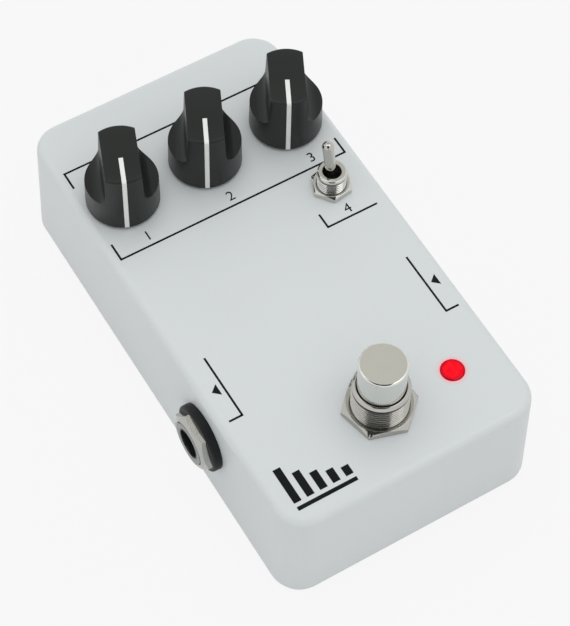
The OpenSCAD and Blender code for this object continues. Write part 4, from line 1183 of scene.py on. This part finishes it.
class PEDAL_OT_stage(bpy.types.Operator):
    """Sets up the floor, the studio light and the camera"""

    bl_idname = "pedal.stage"
    bl_label = "Stage"

    def execute(self, context):
        settings = context.scene.pedal_stage
        context.scene.view_settings.view_transform = "Standard"
        self.camera(context.scene, settings)
        self.world(context.scene, settings)
        self.floor(settings)
        dark, pale = tint(44, 44, 44), tint(208, 207, 200)
        self.light("soft_box", place=(0.05, 0.0, 1.0), size=1.1, power=4.2)
        self.card("dark_card", way=(-0.289, -0.462, 0.839), reach=0.75, size=(0.5, 0.36), tone=dark)
        self.card("near_card", way=(-0.031, -0.07, 0.148), reach=0.167, size=(0.1, 0.15), tone=dark)
        self.card("grey_ceiling", way=(0.285, 0.455, 0.844), reach=0.9, size=(0.7, 0.7), tone=pale)
        return {"FINISHED"}

    def camera(self, scene, settings):
        """The camera at the photograph's viewing angle."""
        clear_selection()
        bpy.ops.object.camera_add(location=settings.camera_at)
        camera = bpy.context.object
        turn = (
            Matrix.Rotation(settings.azimuth, 4, "Z")
            @ Matrix.Rotation(QUARTER - settings.elevation, 4, "X")
            @ Matrix.Rotation(settings.roll, 4, "Z")
        )
        camera.rotation_euler = turn.to_euler()
        camera.data.lens = settings.lens
        camera.data.shift_x = 0.0139
        camera.data.shift_y = -0.0463
        camera.data.clip_start = 0.01
        scene.camera = camera

    def seen_rays(self, tree, mirrored=1.0):
        """1 for rays from the camera, a share for reflected and refracted ones, else 0."""
        path = put(tree, "LightPath")
        either = maths(tree, "MAXIMUM", path["Is Glossy Ray"], path["Is Transmission Ray"])
        return maths(tree, "MAXIMUM", path["Is Camera Ray"], maths(tree, "MULTIPLY", either, mirrored))

    def world(self, scene, settings):
        """A white room: paper white where it is seen, softer as a light."""
        light_level, seen_level = 0.73, 1.0
        world = bpy.data.worlds.new("white_room")
        world.use_nodes = True
        scene.world = world
        tree = world.node_tree
        level = spread(tree, self.seen_rays(tree), 0.0, 1.0, light_level, seen_level)
        feed(tree, tree.nodes["Background"], {"Color": settings.paper, "Strength": level})

    def floor(self, settings):
        """A pale floor that shows as paper white, keeps a faint shadow, and is clear from below
        and to the cover that stands on it."""
        sink, close_by = 0.02 * MM, 0.1 * MM
        shown, mirrored = 0.94, 0.4
        clear_selection()
        bpy.ops.mesh.primitive_plane_add(size=6, location=(0, 0, -sink))
        floor = named("floor")
        material = bpy.data.materials.new("paper")
        material.use_nodes = True
        tree = material.node_tree
        tree.nodes.remove(tree.nodes["Principled BSDF"])
        matte = put(tree, "BsdfDiffuse", {"Color": settings.paper})["BSDF"]
        lit = put(tree, "Emission", {"Color": settings.paper})["Emission"]
        clear = put(tree, "BsdfTransparent")["BSDF"]
        share = maths(tree, "MULTIPLY", self.seen_rays(tree, mirrored), shown)
        paper = put(tree, "MixShader", {"Fac": share, 1: matte, 2: lit})["Shader"]
        close = maths(tree, "LESS_THAN", put(tree, "LightPath")["Ray Length"], close_by)
        unseen = maths(tree, "MAXIMUM", put(tree, "NewGeometry")["Backfacing"], close)
        surface = put(tree, "MixShader", {"Fac": unseen, 1: paper, 2: clear})["Shader"]
        feed(tree, tree.nodes["Material Output"], {"Surface": surface})
        floor.data.materials.append(material)

    def card(self, name, way, reach, size, tone):
        """A card at some distance along a direction that only reflections show."""
        clear_selection()
        place = Vector(way).normalized() * reach
        bpy.ops.mesh.primitive_plane_add(size=1, location=place, rotation=facing(place))
        card = named(name)
        card.scale = (*size, 1)
        for sight in ("camera", "diffuse", "shadow", "transmission"):
            setattr(card, "visible_" + sight, False)
        material = bpy.data.materials.new(name)
        material.use_nodes = True
        shade(material.node_tree, {
            "Base Color": (0.0, 0.0, 0.0, 1.0), "Specular IOR Level": 0.0,
            "Emission Color": tone, "Emission Strength": 1.0,
        })
        card.data.materials.append(material)

    def light(self, name, place, size, power):
        """A square soft box that faces the pedal."""
        clear_selection()
        bpy.ops.object.light_add(type="AREA", location=place)
        lamp = bpy.context.object
        lamp.name = name
        lamp.data.size = size
        lamp.data.energy = power
        lamp.rotation_euler = facing(place)


# Sidebar

class PEDAL_PT_pieces(bpy.types.Panel):
    """The pedal's pieces, in the order in which they are made"""

    bl_idname = "PEDAL_PT_pieces"
    bl_label = "Echo Pedal"
    bl_space_type = "VIEW_3D"
    bl_region_type = "UI"
    bl_category = "Pedal"

    def draw(self, context):
        for operator in OPERATORS:
            self.layout.operator(operator.bl_idname)
        for title in SETTINGS:
            group = getattr(context.scene, title)
            column = self.layout.box().column()
            for field in group.__annotations__:
                column.prop(group, field)


OPERATORS = (
    PEDAL_OT_stage, PEDAL_OT_finishes, PEDAL_OT_shell, PEDAL_OT_print, PEDAL_OT_knobs,
    PEDAL_OT_toggle, PEDAL_OT_footswitch, PEDAL_OT_lamp, PEDAL_OT_sockets,
)
CLASSES = (*SETTINGS.values(), *OPERATORS, PEDAL_PT_pieces)


def register():
    """Adds the classes and their settings."""
    for kind in CLASSES:
        bpy.utils.register_class(kind)
    for title, kind in SETTINGS.items():
        setattr(bpy.types.Scene, title, bpy.props.PointerProperty(type=kind))


def unregister():
    """Takes the settings and classes away again."""
    for title in SETTINGS:
        delattr(bpy.types.Scene, title)
    for kind in reversed(CLASSES):
        bpy.utils.unregister_class(kind)


def main():
    """Makes every piece."""
    register()
    bpy.ops.pedal.stage()
    bpy.ops.pedal.finishes()
    bpy.ops.pedal.shell()
    bpy.ops.pedal.print()
    bpy.ops.pedal.knobs()
    bpy.ops.pedal.toggle()
    bpy.ops.pedal.footswitch()
    bpy.ops.pedal.lamp()
    bpy.ops.pedal.sockets()


if __name__ == "__main__":
    main()
